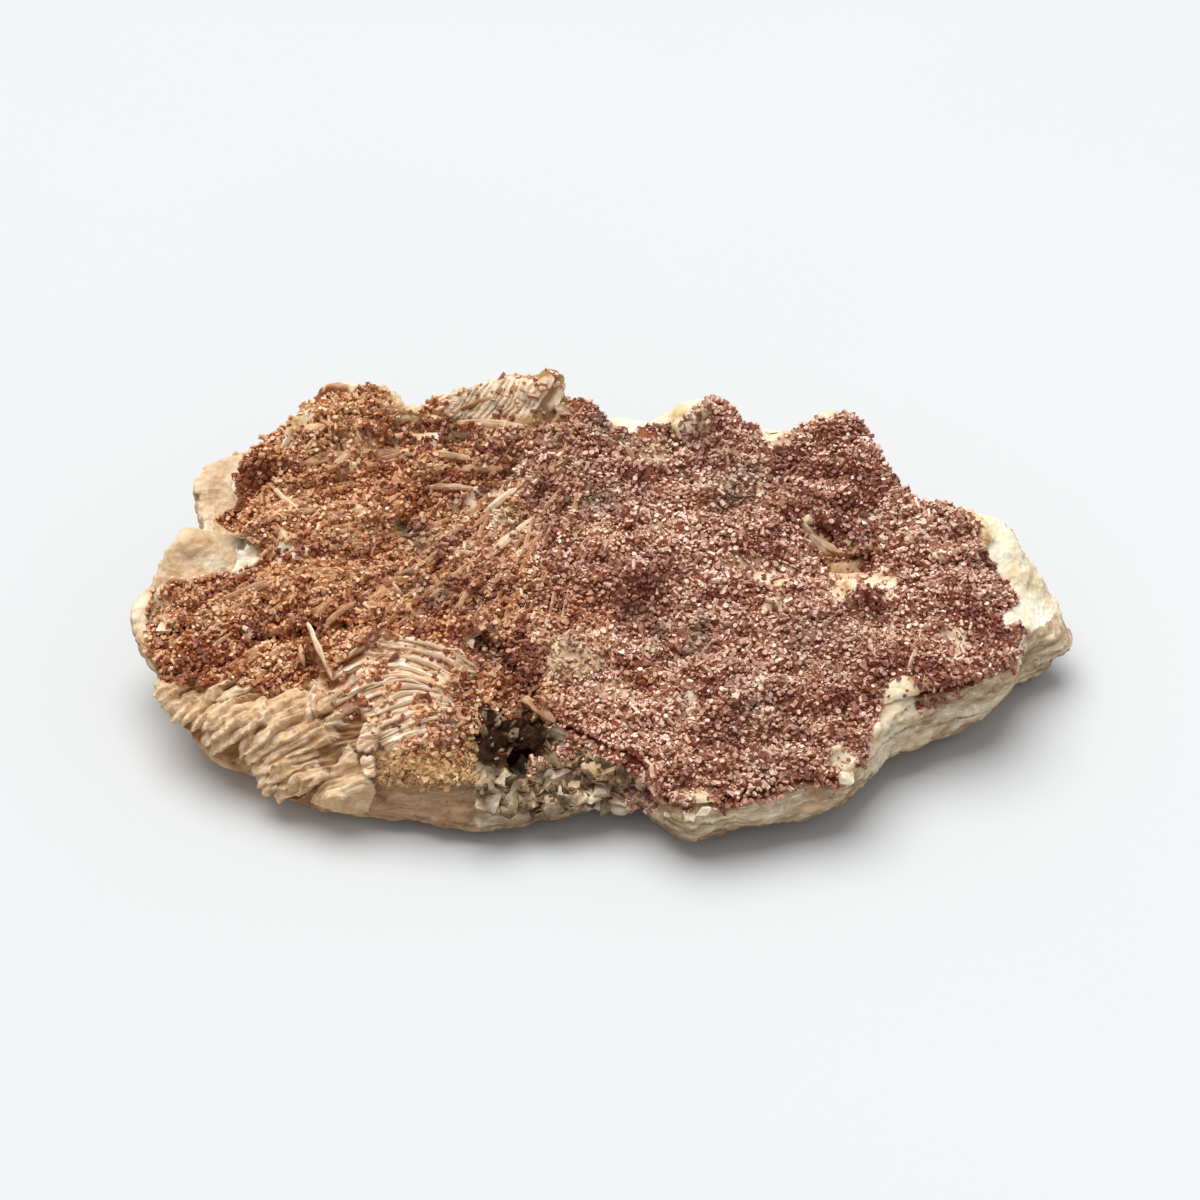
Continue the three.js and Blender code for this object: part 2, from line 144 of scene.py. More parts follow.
def add(tree, kind, sockets=None, stops=(), **settings):
    node = tree.nodes.new("ShaderNode" + kind)
    for name, value in settings.items():
        setattr(node, name, value)
    for name, value in (sockets or {}).items():
        if isinstance(value, bpy.types.NodeSocket):
            tree.links.new(value, node.inputs[name])
        else:
            node.inputs[name].default_value = value
    for i, (place, hex_code) in enumerate(stops):
        stop = node.color_ramp.elements[i] if i < 2 else node.color_ramp.elements.new(place)
        stop.position = place
        stop.color = linear(hex_code)
    return node


def new_material(name):
    material = bpy.data.materials.new(name)
    material.use_nodes = True
    material.node_tree.nodes.clear()
    return material, material.node_tree


def finish(tree, colour, grain, dull, relief, bump, shine):
    """dull is the lowest and highest roughness, and bump its strength and its depth in millimetres."""
    rough = add(tree, "MapRange", {"Value": grain, "To Min": dull[0], "To Max": dull[1]})
    bumps = add(tree, "Bump", {"Height": relief, "Strength": bump[0], "Distance": bump[1] * MM})
    shader = add(tree, "BsdfPrincipled", {
        "Base Color": colour, "Roughness": rough.outputs["Result"], "Normal": bumps.outputs["Normal"],
        **shine})
    add(tree, "OutputMaterial", {"Surface": shader.outputs["BSDF"]})


COLOUR_A, COLOUR_B, COLOUR_OUT = 6, 7, 2  # the Mix node's colour sockets, by number
print("cream reads as", [round(c, 3) for c in linear("#F1E9D5")])

# %% [markdown]
# ## Floor and light
# The floor is a sheet of pale matte paper. A broad lamp above and behind lights the top of the specimen
# and leaves its front walls in soft shade, as in the photo, and a pale sky fills the shadows.

# %% Floor
FLOOR_SIDE = 6000
floor_mesh = bpy.data.meshes.new("floor")
half_floor = FLOOR_SIDE / 2 * MM
floor_mesh.from_pydata(
    [(-half_floor, -half_floor, 0), (half_floor, -half_floor, 0), (half_floor, half_floor, 0),
     (-half_floor, half_floor, 0)], [], [(0, 1, 2, 3)],
)
floor = bpy.data.objects.new("floor", floor_mesh)
bpy.context.scene.collection.objects.link(floor)
paper, tree = new_material("pale_matte_paper")
fibre = add(tree, "TexNoise", {"Scale": 1 / (40 * MM), "Detail": 3.0})
tint = add(tree, "ValToRGB", {"Fac": fibre.outputs["Fac"]}, stops=[(0.3, "#CBCCCC"), (0.7, "#CDCECE")])
shader = add(tree, "BsdfPrincipled", {"Base Color": tint.outputs["Color"], "Roughness": 0.9})
add(tree, "OutputMaterial", {"Surface": shader.outputs["BSDF"]})
floor_mesh.materials.append(paper)
print("floor:", FLOOR_SIDE, "mm wide")

# %% Light
SKY_STRENGTH = 0.56
SUN_HEADING = (0.16, -0.26, -0.95)
SUN_SPREAD = math.radians(55)  # how wide the lamp looks, which softens shadows
SUN_STRENGTH = 3.2
world = bpy.data.worlds.new("studio")
world.use_nodes = True
sky = world.node_tree.nodes["Background"]
sky.inputs["Color"].default_value = linear("#F4F7FB")
sky.inputs["Strength"].default_value = SKY_STRENGTH
bpy.context.scene.world = world
lamp_data = bpy.data.lights.new("key_lamp", "SUN")
lamp_data.angle = SUN_SPREAD
lamp_data.energy = SUN_STRENGTH
lamp = bpy.data.objects.new("key_lamp", lamp_data)
lamp.rotation_euler = Vector(SUN_HEADING).to_track_quat("-Z", "Y").to_euler()
bpy.context.scene.collection.objects.link(lamp)
print("key lamp:", SUN_STRENGTH, "W per square metre")

# %% [markdown]
# ## Noise, and meshes from arrays
# Rock is rough at every size. A table of random numbers on a lattice, blended smoothly between its points,
# gives lumps of any size, and adding finer and finer lumps gives a broken surface. Lumps that are long in
# one direction are folds and combed ridges. All of it runs on whole arrays of points, which is quick, and
# every table has its own seed, so each run gives the same stone.

# %% Noise
LATTICE = 64


def soft_noise(points, cell, seed):
    table = np.random.default_rng(seed).uniform(-1, 1, (LATTICE, LATTICE, LATTICE))
    scaled = points / np.asarray(cell, float)
    low = np.floor(scaled).astype(int)
    share = scaled - low
    share = share * share * (3 - 2 * share)
    total = np.zeros(len(points))
    for corner in itertools.product((0, 1), repeat=3):
        weight = np.prod(np.where(corner, share, 1 - share), axis=1)
        index = (low + corner) % LATTICE
        total += weight * table[index[:, 0], index[:, 1], index[:, 2]]
    return total


def fractal(points, cell, octaves, seed):
    return sum(
        soft_noise(points, np.asarray(cell, float) / 2**k, seed + k) / 2**k for k in range(octaves)
    )


def fade(values, start, end):
    share = np.clip((values - start) / (end - start), 0, 1)
    return share * share * (3 - 2 * share)


def unit(vectors):
    vectors = np.asarray(vectors, float)
    return vectors / np.linalg.norm(vectors, axis=-1, keepdims=True)


def combed(run, length, spacing, seed):
    """Ridges, 0 in a groove and 1 on a crest. run holds each point's place along, across and out."""
    swing = run + np.array([0, spacing, 0]) * soft_noise(run, 3.5 * spacing, seed)[:, None]
    return 1 - np.minimum(1, 1.7 * np.abs(fractal(swing, (length, spacing, length), 2, seed + 1)))


print("noise near the origin:", round(float(fractal(np.full((1, 3), 0.3), 5, 3, 1)[0]), 3))

# %% Meshes from arrays
def points_of(mesh, what="co"):
    flat = np.empty(len(mesh.vertices) * 3, np.float32)
    mesh.vertices.foreach_get(what, flat)
    return flat.reshape(-1, 3).astype(float)


def triangles_of(mesh):
    mesh.calc_loop_triangles()
    corners = np.empty(len(mesh.loop_triangles) * 3, np.int32)
    mesh.loop_triangles.foreach_get("vertices", corners)
    return corners.reshape(-1, 3)


def surface_of(*meshes):
    """A search tree of some meshes' faces, in millimetres, for casting rays at them."""
    starts = np.cumsum([0] + [len(mesh.vertices) for mesh in meshes])
    points = np.concatenate([points_of(mesh) / MM for mesh in meshes])
    triangles = np.concatenate([triangles_of(mesh) + start for mesh, start in zip(meshes, starts)])
    return BVHTree.FromPolygons(points.tolist(), triangles.tolist())


def mesh_of(name, points, polygons):
    """points in millimetres; polygons is a list of arrays of corners, each for one number of corners."""
    sizes = np.concatenate([np.full(len(p), p.shape[1]) for p in polygons])
    corners = np.concatenate([p.ravel() for p in polygons])
    mesh = bpy.data.meshes.new(name)
    mesh.vertices.add(len(points))
    mesh.vertices.foreach_set("co", (points * MM).astype(np.float32).ravel())
    mesh.loops.add(len(corners))
    mesh.loops.foreach_set("vertex_index", corners.astype(np.int32))
    mesh.polygons.add(len(sizes))
    mesh.polygons.foreach_set("loop_start", (np.cumsum(sizes) - sizes).astype(np.int32))
    mesh.update(calc_edges=True)
    return mesh


def move_points(mesh, points):
    mesh.vertices.foreach_set("co", (points * MM).astype(np.float32).ravel())
    mesh.update()


def paint(mesh, name, values, domain="POINT"):
    layer = mesh.attributes.new(name, "FLOAT", domain)
    layer.data.foreach_set("value", np.asarray(values, np.float32))


def place(name, mesh, material, slot, smooth, replaced=()):
    """Makes a piece of a mesh, gives it its finish, and fixes it to the specimen."""
    mesh.materials.clear()
    mesh.materials.append(material)
    mesh.polygons.foreach_set("use_smooth", np.full(len(mesh.polygons), smooth))
    piece = bpy.data.objects.new(name, mesh)
    bpy.context.scene.collection.objects.link(piece)
    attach(piece, "root")
    if replaced:
        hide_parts(*replaced)
    print(name, "has", len(triangles_of(mesh)), "triangles")

# %% Fine copies of the solids
WELD = 0.001  # corners nearer than this are one


def fine_copy(node, voxel, smoothing):
    """A closed mesh of even small faces in a solid's shape, with its edges worn round."""
    shape = bmesh.new()
    shape.from_mesh(node.data)
    bmesh.ops.remove_doubles(shape, verts=shape.verts, dist=WELD * MM)
    rough = bpy.data.meshes.new(node.name + "_welded")
    shape.to_mesh(rough)
    shape.free()
    helper = bpy.data.objects.new(node.name + "_helper", rough)
    bpy.context.scene.collection.objects.link(helper)
    remesh = helper.modifiers.new("even_faces", "REMESH")
    remesh.mode = "VOXEL"
    remesh.voxel_size = voxel * MM
    wear = helper.modifiers.new("worn_edges", "SMOOTH")
    wear.iterations = smoothing
    bpy.context.view_layer.update()
    fine = bpy.data.meshes.new_from_object(helper.evaluated_get(bpy.context.evaluated_depsgraph_get()))
    bpy.data.objects.remove(helper)
    return fine


BED_VOXEL = 0.7
BED_WEAR = 12
MATRIX_VOXEL = 0.88
MATRIX_WEAR = 5
matrix_mesh = fine_copy(matrix_node, MATRIX_VOXEL, MATRIX_WEAR)
bed_mesh = fine_copy(crust_node, BED_VOXEL, BED_WEAR)
first_rock = surface_of(matrix_mesh, bed_mesh)
print("slab:", len(matrix_mesh.vertices), "points, bed:", len(bed_mesh.vertices), "points")

# %% [markdown]
# ## Outlines
# The red crust's edge was traced in the photo, all round. Whatever part of the rock is seen inside that
# outline and faces up is crusted; outside it the baryte is bare. Smaller outlines hold the flank, the
# feather of stacked plates, the mound on the back rim, and the rough ochre and smooth rosy bands of the
# front edge.

# %% Traced outlines
CRUST_OUTLINE = (
    (150, 598), (168, 584), (204, 578), (240, 570), (264, 556), (246, 540), (216, 516), (232, 503),
    (240, 484), (238, 462), (256, 446), (278, 427), (302, 406), (332, 394), (376, 384), (392, 390),
    (400, 412), (418, 426), (426, 404), (440, 384), (470, 376), (502, 370), (546, 368), (574, 381),
    (590, 402), (612, 424), (640, 430), (676, 426), (700, 404), (712, 392), (724, 402), (744, 426),
    (774, 438), (800, 430), (830, 414), (860, 414), (870, 434), (890, 466), (914, 490), (944, 502),
    (966, 514), (978, 530), (984, 552), (990, 566), (1003, 582), (1017, 600), (1006, 610), (996, 622),
    (1028, 628), (1022, 648), (1012, 668), (984, 684), (940, 698), (914, 712), (894, 704), (876, 718),
    (868, 742), (860, 768), (838, 786), (800, 794), (760, 802), (722, 814), (690, 818), (658, 814),
    (646, 790), (622, 768), (594, 752), (570, 738), (548, 722), (536, 706), (520, 698), (512, 716),
    (500, 716), (486, 704), (480, 680), (470, 662), (450, 642), (420, 636), (392, 637), (364, 644),
    (342, 656), (332, 672), (316, 682), (292, 690), (266, 692), (243, 684), (222, 682), (196, 685),
    (174, 684), (158, 668), (146, 648),
)
FLANK_OUTLINE = (
    (152, 682), (204, 676), (262, 688), (316, 682), (366, 690), (372, 740), (384, 812), (310, 822),
    (240, 790), (160, 740),
)
FEATHER_OUTLINE = (
    (322, 690), (342, 654), (392, 633), (450, 638), (484, 668), (494, 700), (480, 726), (468, 746),
    (398, 752), (374, 744), (366, 716), (334, 712),
)
MOUND_OUTLINE = (
    (432, 420), (440, 380), (475, 368), (548, 362), (578, 378), (592, 404), (560, 428), (480, 426),
)
OCHRE_OUTLINE = ((386, 752), (430, 744), (476, 738), (474, 780), (420, 784), (384, 778))
NOSE_WALL = ((1010, 700), (1014, 672), (1030, 634), (1042, 622), (1058, 612), (1080, 616), (1082, 670))
ROSY_OUTLINE = ((376, 786), (420, 784), (474, 780), (476, 836), (400, 832), (368, 812))
NOTCH_OUTLINE = ((864, 722), (882, 708), (904, 702), (922, 710), (914, 738), (892, 764), (866, 774))
HOLLOW_OUTLINE = (
    (484, 702), (500, 716), (520, 700), (552, 728), (600, 752), (640, 774), (646, 788), (604, 798),
    (562, 808), (502, 810), (478, 796), (474, 770), (480, 730),
)
SMOOTH_PLATE = ((312, 802), (328, 772), (350, 744), (360, 756), (372, 784), (382, 806), (352, 816))
CAVITY_OUTLINE = ((482, 718), (500, 712), (520, 704), (540, 724), (538, 750), (512, 768), (476, 764))
print("crust outline:", len(CRUST_OUTLINE), "corners")

# %% Spots with few crystals or none
BARE_SPOTS = (  # the photo's pixel, and the radii in mm, of places inside the outline where no crystals grow
    ((806, 526), 0.7, 1.3), ((811, 534), 0.9, 1.3), ((819, 542), 1.2, 1.3), ((830, 548), 1.5, 1.2),
    ((842, 552), 1.2, 0.9), ((842, 563), 3.6, 1.8), ((846, 574), 4.2, 1.8), ((858, 590), 5.0, 2.6),
    ((880, 584), 2.6, 3.0),
    ((766, 580), 3.2, 2.2), ((776, 598), 2.8, 1.0), ((704, 806), 1.6, 3.0), ((692, 792), 1.8, 1.6),
    ((848, 766), 1.6, 2.0), ((838, 758), 1.4, 1.4), ((898, 700), 2.6, 2.8), ((690, 704), 0.8, 1.4),
    ((940, 560), 1.8, 1.0), ((762, 492), 1.0, 1.4), ((300, 430), 2.4, 1.2), ((820, 510), 1.6, 0.8),
    ((403, 521), 1.3, 1.3),
)
THIN_SPOTS = (  # likewise, of places where crystals are few
    ((286, 556), 4.0, 2.2), ((292, 440), 3.6, 2.0), ((384, 454), 6.0, 1.6), ((404, 406), 3.4, 4.0),
    ((455, 412), 3.2, 2.6), ((496, 510), 3.4, 4.2), ((570, 655), 4.5, 4.5), ((156, 628), 2.4, 5.0),
    ((212, 631), 2.0, 1.8), ((345, 470), 2.4, 1.4), ((440, 452), 5.0, 1.4), ((540, 392), 4.0, 3.0),
    ((600, 640), 3.0, 2.5), ((245, 590), 4.5, 1.8), ((520, 560), 2.5, 2.0), ((690, 420), 3.5, 2.6),
    ((780, 438), 4.0, 2.0), ((730, 455), 2.0, 1.4), ((925, 548), 3.0, 1.6), ((905, 690), 3.0, 2.6),
    ((870, 522), 2.2, 1.2), ((960, 640), 2.6, 3.0), ((500, 396), 6.0, 4.0), ((655, 452), 2.4, 2.0),
    ((750, 570), 4.0, 2.4), ((620, 690), 3.0, 2.0), ((470, 500), 3.0, 2.0), ((340, 520), 3.0, 1.2),
)
print("bare spots:", len(BARE_SPOTS), "thin spots:", len(THIN_SPOTS))

# %% What grows where
EDGE_WOBBLE = 6  # pixels
STRAY = 0.06  # the share of crystals that grow on a bare spot all the same


def farness(points, surface, pixel, reach):
    """How far points lie from the place seen at a pixel: in shares of the reach, and squared."""
    gap = (points - seen_at(surface, [pixel])[0]) / reach
    return (gap**2).sum(axis=1)


def crusted(points):
    """1 inside the crust's traced outline and 0 outside it or on a bare spot."""
    wobble = EDGE_WOBBLE * np.stack([fractal(points, 2.5, 2, 200), fractal(points, 2.5, 2, 210)], axis=1)
    share = inside(pixel_of(points) + wobble, CRUST_OUTLINE).astype(float)
    uneven = 1 + 0.6 * fractal(points, 1.8, 2, 220)
    for pixel, along, across in BARE_SPOTS:
        off = farness(points, first_rock, pixel, (along, across, math.inf)) < uneven
        share = np.where(off, np.minimum(share, STRAY), share)
    return share


def thinned(points):
    """0 where the crust is full, towards 1 where its crystals are few."""
    uneven = 1 + 0.7 * fractal(points, 2.2, 3, 225)
    thin = np.zeros(len(points))
    for pixel, along, across in THIN_SPOTS:
        far = farness(points, first_rock, pixel, (along, across, math.inf))
        thin = np.maximum(thin, fade(far, 1.6 * uneven, 0.5 * uneven))
    return thin


def within(points, outline, soft=4):
    """1 for places seen inside an outline and 0 outside it, with a ragged edge."""
    wobble = soft * np.stack([fractal(points, 2.0, 2, 240), fractal(points, 2.0, 2, 250)], axis=1)
    return inside(pixel_of(points) + wobble, outline).astype(float)


print("crusted share of the bed's points:", round(float(crusted(points_of(bed_mesh) / MM).mean()), 2))

# %% [markdown]
# ## The baryte slab
# Baryte is a heavy, brittle mineral. Broken walls are stepped and streaky, worn ends are chalky, the left
# flank is a curtain of folded plates, and the feather and the mound are stacks of thin ones. The fine copy
# of the solid is pushed in and out along its own directions: small lumps all over, flat layers on the
# steep walls, and the plates. Each plate's edge was traced; behind its edge a plate falls away slowly and
# in front of it at once, so that plates overlap like shingles. Faces in view that stay bare are split, to
# hold that detail. The underside stays flat.

# %% Split the faces that hold detail
def split(mesh, chosen):
    """Splits each chosen face in four."""
    shape = bmesh.new()
    shape.from_mesh(mesh)
    picked = [face for face, pick in zip(shape.faces, chosen) if pick]
    edges = list({edge for face in picked for edge in face.edges})
    bmesh.ops.subdivide_edges(shape, edges=edges, cuts=1, use_grid_fill=True)
    shape.to_mesh(mesh)
    shape.free()


def faces_seen(mesh):
    """Each face's pixel, and whether it faces the camera."""
    values = []
    for what in ("center", "normal"):
        flat = np.empty(len(mesh.polygons) * 3, np.float32)
        mesh.polygons.foreach_get(what, flat)
        values.append(flat.reshape(-1, 3).astype(float))
    return pixel_of(values[0] / MM), values[1] @ LOOK_AHEAD < 0


pixels, towards = faces_seen(matrix_mesh)
split(matrix_mesh, towards & (~inside(pixels, CRUST_OUTLINE) | inside(pixels, MOUND_OUTLINE)))
pixels, towards = faces_seen(matrix_mesh)
plated = [inside(pixels, outline) for outline in (FLANK_OUTLINE, FEATHER_OUTLINE, MOUND_OUTLINE)]
split(matrix_mesh, towards & np.any(plated, axis=0))
for turn in range(2):
    pixels, towards = faces_seen(bed_mesh)
    split(bed_mesh, towards & inside(pixels, MOUND_OUTLINE))
print("slab:", len(triangles_of(matrix_mesh)), "triangles")

# %% Edges of the flank's plates
FLANK_FOLDS = (
    ((172, 704), (180, 694), (190, 686)), ((189, 722), (212, 700), (237, 679)),
    ((200, 728), (226, 708), (252, 690)), ((216, 722), (236, 708), (256, 700)),
    ((212, 730), (232, 722), (252, 715)), ((214, 741), (230, 730), (252, 723)),
    ((222, 750), (238, 740), (250, 730)), ((246, 704), (262, 696), (284, 690)),
    ((252, 753), (276, 732), (307, 718)), ((258, 760), (284, 742), (316, 728)),
    ((274, 762), (298, 746), (334, 730)), ((282, 766), (306, 752), (332, 742)),
    ((262, 774), (286, 766), (311, 760)), ((265, 783), (288, 775), (311, 770)),
    ((270, 790), (290, 783), (312, 778)), ((250, 746), (256, 728), (268, 706)),
    ((264, 722), (280, 708), (302, 698)), ((278, 726), (294, 714), (308, 706)),
    ((160, 690), (166, 700), (172, 710)), ((176, 722), (184, 714), (194, 704)),
    ((310, 722), (318, 704), (322, 690)), ((286, 798), (304, 790), (322, 780)),
    ((322, 716), (342, 702), (362, 692)), ((336, 724), (352, 712), (368, 704)),
)
print("flank:", len(FLANK_FOLDS), "plates")

# %% [markdown]
# The feather has a stack of arched plates, with loose ones at its left and a few upright ones below. The
# plates of the mound stand steeply. Between two traced edges of a stack runs one that is too faint to
# trace, so it is taken halfway between them.

# %% Edges of the feather's and the mound's plates
FEATHER = (
    ((338, 662), (360, 650), (385, 641)), ((338, 678), (352, 671), (368, 665)),
    ((344, 690), (358, 681), (371, 672)), ((388, 638), (428, 645), (461, 658), (477, 668)),
    ((382, 647), (420, 652), (448, 662), (472, 676)), ((372, 656), (408, 659), (436, 668), (462, 682)),
    ((366, 667), (402, 668), (428, 675), (450, 684)), ((364, 679), (398, 676), (420, 680), (444, 689)),
    ((362, 691), (390, 682), (412, 681), (436, 691)), ((364, 701), (392, 690), (420, 688), (446, 696)),
    ((366, 712), (392, 699), (415, 694), (446, 702)), ((370, 719), (396, 707), (420, 702), (450, 708)),
    ((376, 730), (400, 719), (436, 711), (456, 712)), ((379, 739), (405, 728), (434, 719), (456, 720)),
    ((384, 747), (410, 737), (440, 728), (458, 727)), ((390, 754), (420, 745), (446, 738), (462, 735)),
    ((316, 716), (340, 703), (362, 690)), ((322, 706), (338, 695), (352, 686)),
)
UPRIGHT_PLATES = (
    ((310, 719), (315, 704), (321, 688)), ((318, 714), (323, 702), (327, 692)),
    ((361, 748), (364, 738), (367, 728)), ((368, 749), (370, 739), (373, 728)),
    ((374, 746), (376, 736), (379, 726)), ((364, 760), (366, 767), (368, 774)),
    ((370, 760), (371, 767), (372, 773)),
)
MOUND_BLADES = (
    ((440, 415), (448, 407), (458, 399)), ((450, 416), (460, 404), (470, 392)),
    ((464, 417), (476, 400), (489, 384)), ((478, 418), (492, 400), (505, 381)),
    ((492, 418), (505, 400), (516, 382)), ((506, 416), (516, 402), (528, 384)),
    ((520, 415), (530, 400), (539, 386)), ((534, 413), (544, 396), (552, 380)),
    ((442, 404), (456, 394), (468, 385)), ((554, 408), (562, 394), (568, 382)),
)
FEATHER_STACK = FEATHER[3:16]
MOUND_STACK = MOUND_BLADES[:8]


def midlines(lines):
    """Lines halfway between each line and the next."""
    return tuple(tuple(map(tuple, (np.array(one) + two) / 2)) for one, two in zip(lines, lines[1:]))


BETWEEN = midlines(FEATHER_STACK)
MOUND_BETWEEN = midlines(MOUND_STACK)
print("feather:", len(FEATHER + BETWEEN), "plates, mound:", len(MOUND_BLADES + MOUND_BETWEEN), "plates")

# %% How high the plates stand
FLANK_FALL = (13, 2.5)  # pixels over which a plate falls away, behind its edge and in front of it
FEATHER_FALL = (10, 2.2)
MOUND_FALL = (8, 2.2)
UPRIGHT_FALL = (6, 5)


def fold_height(pixels, lines, fall):
    """How high the plates stand at some pixels, from 0 to 1."""
    height = np.zeros(len(pixels))
    for line in lines:
        for here, there in zip(np.array(line), np.array(line[1:])):
            run = there - here
            share = np.clip((pixels - here) @ run / (run @ run), 0, 1)
            gap = pixels - here - share[:, None] * run
            behind = run[0] * gap[:, 1] - run[1] * gap[:, 0] < 0
            height = np.maximum(height, 1 - np.hypot(*gap.T) / np.where(behind, *fall))
    return height


print("on a traced edge:", fold_height(np.array(FEATHER[3][1:2]), FEATHER, FEATHER_FALL)[0])

# %% Hollows and pockets
HOLLOW_PIXEL = (512, 736)  # the dark hollow of the front edge, and its reach in mm
HOLLOW_REACH = (8, 9, 6)
CLEFT_PIXEL = (247, 538)  # the dark cleft behind the left knob
CLEFT_REACH = 3.4
POCKETS = (  # the photo's pixel, radius along and across, depth in mm
    ((842, 566), 3.6, 1.7, 3.2), ((768, 588), 4.2, 2.2, 1.0),
    ((403, 521), 1.3, 1.3, 3.0), ((520, 700), 3.0, 3.0, 0.8), ((240, 530), 4.0, 2.4, 1.4),
)


def nearness(points, surface, pixel, reach):
    """1 at the place seen at a pixel, and falling softly to 0 past its reach."""
    return np.exp(-farness(points, surface, pixel, reach))


def in_cleft(points):
    return nearness(points, first_rock, CLEFT_PIXEL, CLEFT_REACH)


def pocket_depth(points):
    depth = np.zeros(len(points))
    for pixel, along, across, deep in POCKETS:
        gap = points - seen_at(first_rock, [pixel])[0]
        depth = np.maximum(depth, deep * np.exp(-((gap[:, 0] / along) ** 4) - (gap[:, 1] / across) ** 4))
    return depth


print("pockets:", len(POCKETS))

# %% Measure the slab's relief
FLANK_AXES = np.stack(  # along the flank's folds, across them, and out
    [unit((0.88, 0.12, 0.46)), unit((-0.12, 0.66, 0.2)), unit((-0.45, -0.75, 0.48))], axis=1)
WAVER = 2.5  # pixels that the edges of the flank's plates waver
STACK_WAVER = 0.8  # the same for the stacks, as a share
FAINT = 0.75  # height of the plates between the traced ones, as a share
matrix_points = points_of(matrix_mesh) / MM
matrix_normals = points_of(matrix_mesh, "normal")
x, y, z = matrix_points.T
steep = fade(matrix_normals[:, 2], 0.65, 0.25)
flank = fade(-x, 26, 36) * fade(-y, 9, 16)
towards = fade(matrix_normals @ -LOOK_AHEAD, 0.0, 0.5)
slab_pixels = pixel_of(matrix_points)
waver = WAVER * np.stack([fractal(matrix_points, 3, 2, 30), fractal(matrix_points, 3, 2, 35)], axis=1)
stack_pixels = slab_pixels + STACK_WAVER * waver
plates = fold_height(slab_pixels + waver, FLANK_FOLDS, FLANK_FALL) * towards
plume = within(matrix_points, FEATHER_OUTLINE) * towards
sheets = fold_height(stack_pixels, FEATHER, FEATHER_FALL)
sheets = np.maximum(sheets, FAINT * fold_height(stack_pixels, BETWEEN, FEATHER_FALL))
sheets = plume * sheets * (0.8 + 0.35 * fractal(matrix_points, (4, 4, 2), 2, 47))
uprights = towards * fold_height(slab_pixels, UPRIGHT_PLATES, UPRIGHT_FALL)
mound = within(matrix_points, MOUND_OUTLINE) * towards
steps = mound * fold_height(stack_pixels, MOUND_BLADES + MOUND_BETWEEN, MOUND_FALL)
steps = steps * (0.8 + 0.35 * fractal(matrix_points, (3, 3, 3), 2, 48))
folds = combed(matrix_points @ FLANK_AXES, 14, 1.7, 40)
threads = combed(matrix_points @ FLANK_AXES, 9, 0.7, 45)
layers = fractal(matrix_points, (8, 8, 1.5), 4, 50)
cracks = np.abs(fractal(matrix_points, (2.2, 2.2, 6), 3, 55))
lumps = fractal(matrix_points, 4.5, 4, 60)
hollow = nearness(matrix_points, first_rock, HOLLOW_PIXEL, HOLLOW_REACH)
print("share of the slab on the flank:", round(float(flank.mean()), 2))

# %% Push the slab in and out
LUMP_RISE = 0.55  # this and the next eight are in mm
LAYER_RISE = 0.7
CRACK_DEPTH = 0.35
HOLLOW_ROUGHNESS = 2.2
FOLD_RISE = 0.5
FLANK_RISE = 1.6
FEATHER_RISE = 1.4
MOUND_RISE = 1.0
UPRIGHT_RISE = 1.1
FOOT = (0.4, 3)  # the heights between which the push sets in
CALM = 0.6  # share of the push that the stacks take away
stepped = LAYER_RISE * layers - CRACK_DEPTH * fade(cracks, 0.14, 0.0)
push = LUMP_RISE * lumps + steep * (1 - flank) * stepped
push = push + HOLLOW_ROUGHNESS * hollow * fractal(matrix_points, 2.2, 4, 65)
combing = FOLD_RISE * (folds - 0.5) + FOLD_RISE * (threads - 0.5)
push = push + FLANK_RISE * plates + flank * towards * combing
push = push * (1 - CALM * np.maximum(plume, mound)) + FEATHER_RISE * sheets
push = push + UPRIGHT_RISE * fade(uprights, 0.05, 0.4) + MOUND_RISE * steps
push = push * fade(z, *FOOT)
matrix_points = matrix_points + matrix_normals * push[:, None]
matrix_points[:, 2] -= pocket_depth(matrix_points) * fade(matrix_normals[:, 2], 0.2, 0.6)
move_points(matrix_mesh, matrix_points)
print("slab pushed by", round(push.min(), 2), "to", round(push.max(), 2), "mm")

# %% [markdown]
# ## The crust's bed
# The druse grows on a thin red-brown layer. Across the left half it lies over a fan of buried blades, so
# it is combed into ridges there that spread from a point at the back. On the right it breaks into low
# ledges that run from left to right, with a few swells, and two pockets where it has come off.

# %% The fan of buried blades
FAN_CENTRE = (0, 30)
FAN_RADIUS = 45  # the distance from the centre at which the ridges' spacing is measured
RIDGE_LENGTH = 13
RIDGE_SPACING = 2.2
RIDGE_SEED = 70


def fan(points):
    """How far along the buried blades a point lies, and how far across them."""
    back, right = FAN_CENTRE[1] - points[:, 1], FAN_CENTRE[0] - points[:, 0]
    return np.stack([np.hypot(back, right), FAN_RADIUS * np.arctan2(back, right), 0 * back], axis=1)


def sheaf(points):
    """How strongly the buried blades show: all of the left half, fading out to the right."""
    return fade(-points[:, 0], -6, 14)


def blade_ridges(points):
    """The ridges over the buried blades, 0 in a groove and 1 on a crest."""
    return combed(fan(points), RIDGE_LENGTH, RIDGE_SPACING, RIDGE_SEED)


print("the fan's strength at the origin:", sheaf(np.zeros((1, 3))).round(2)[0])

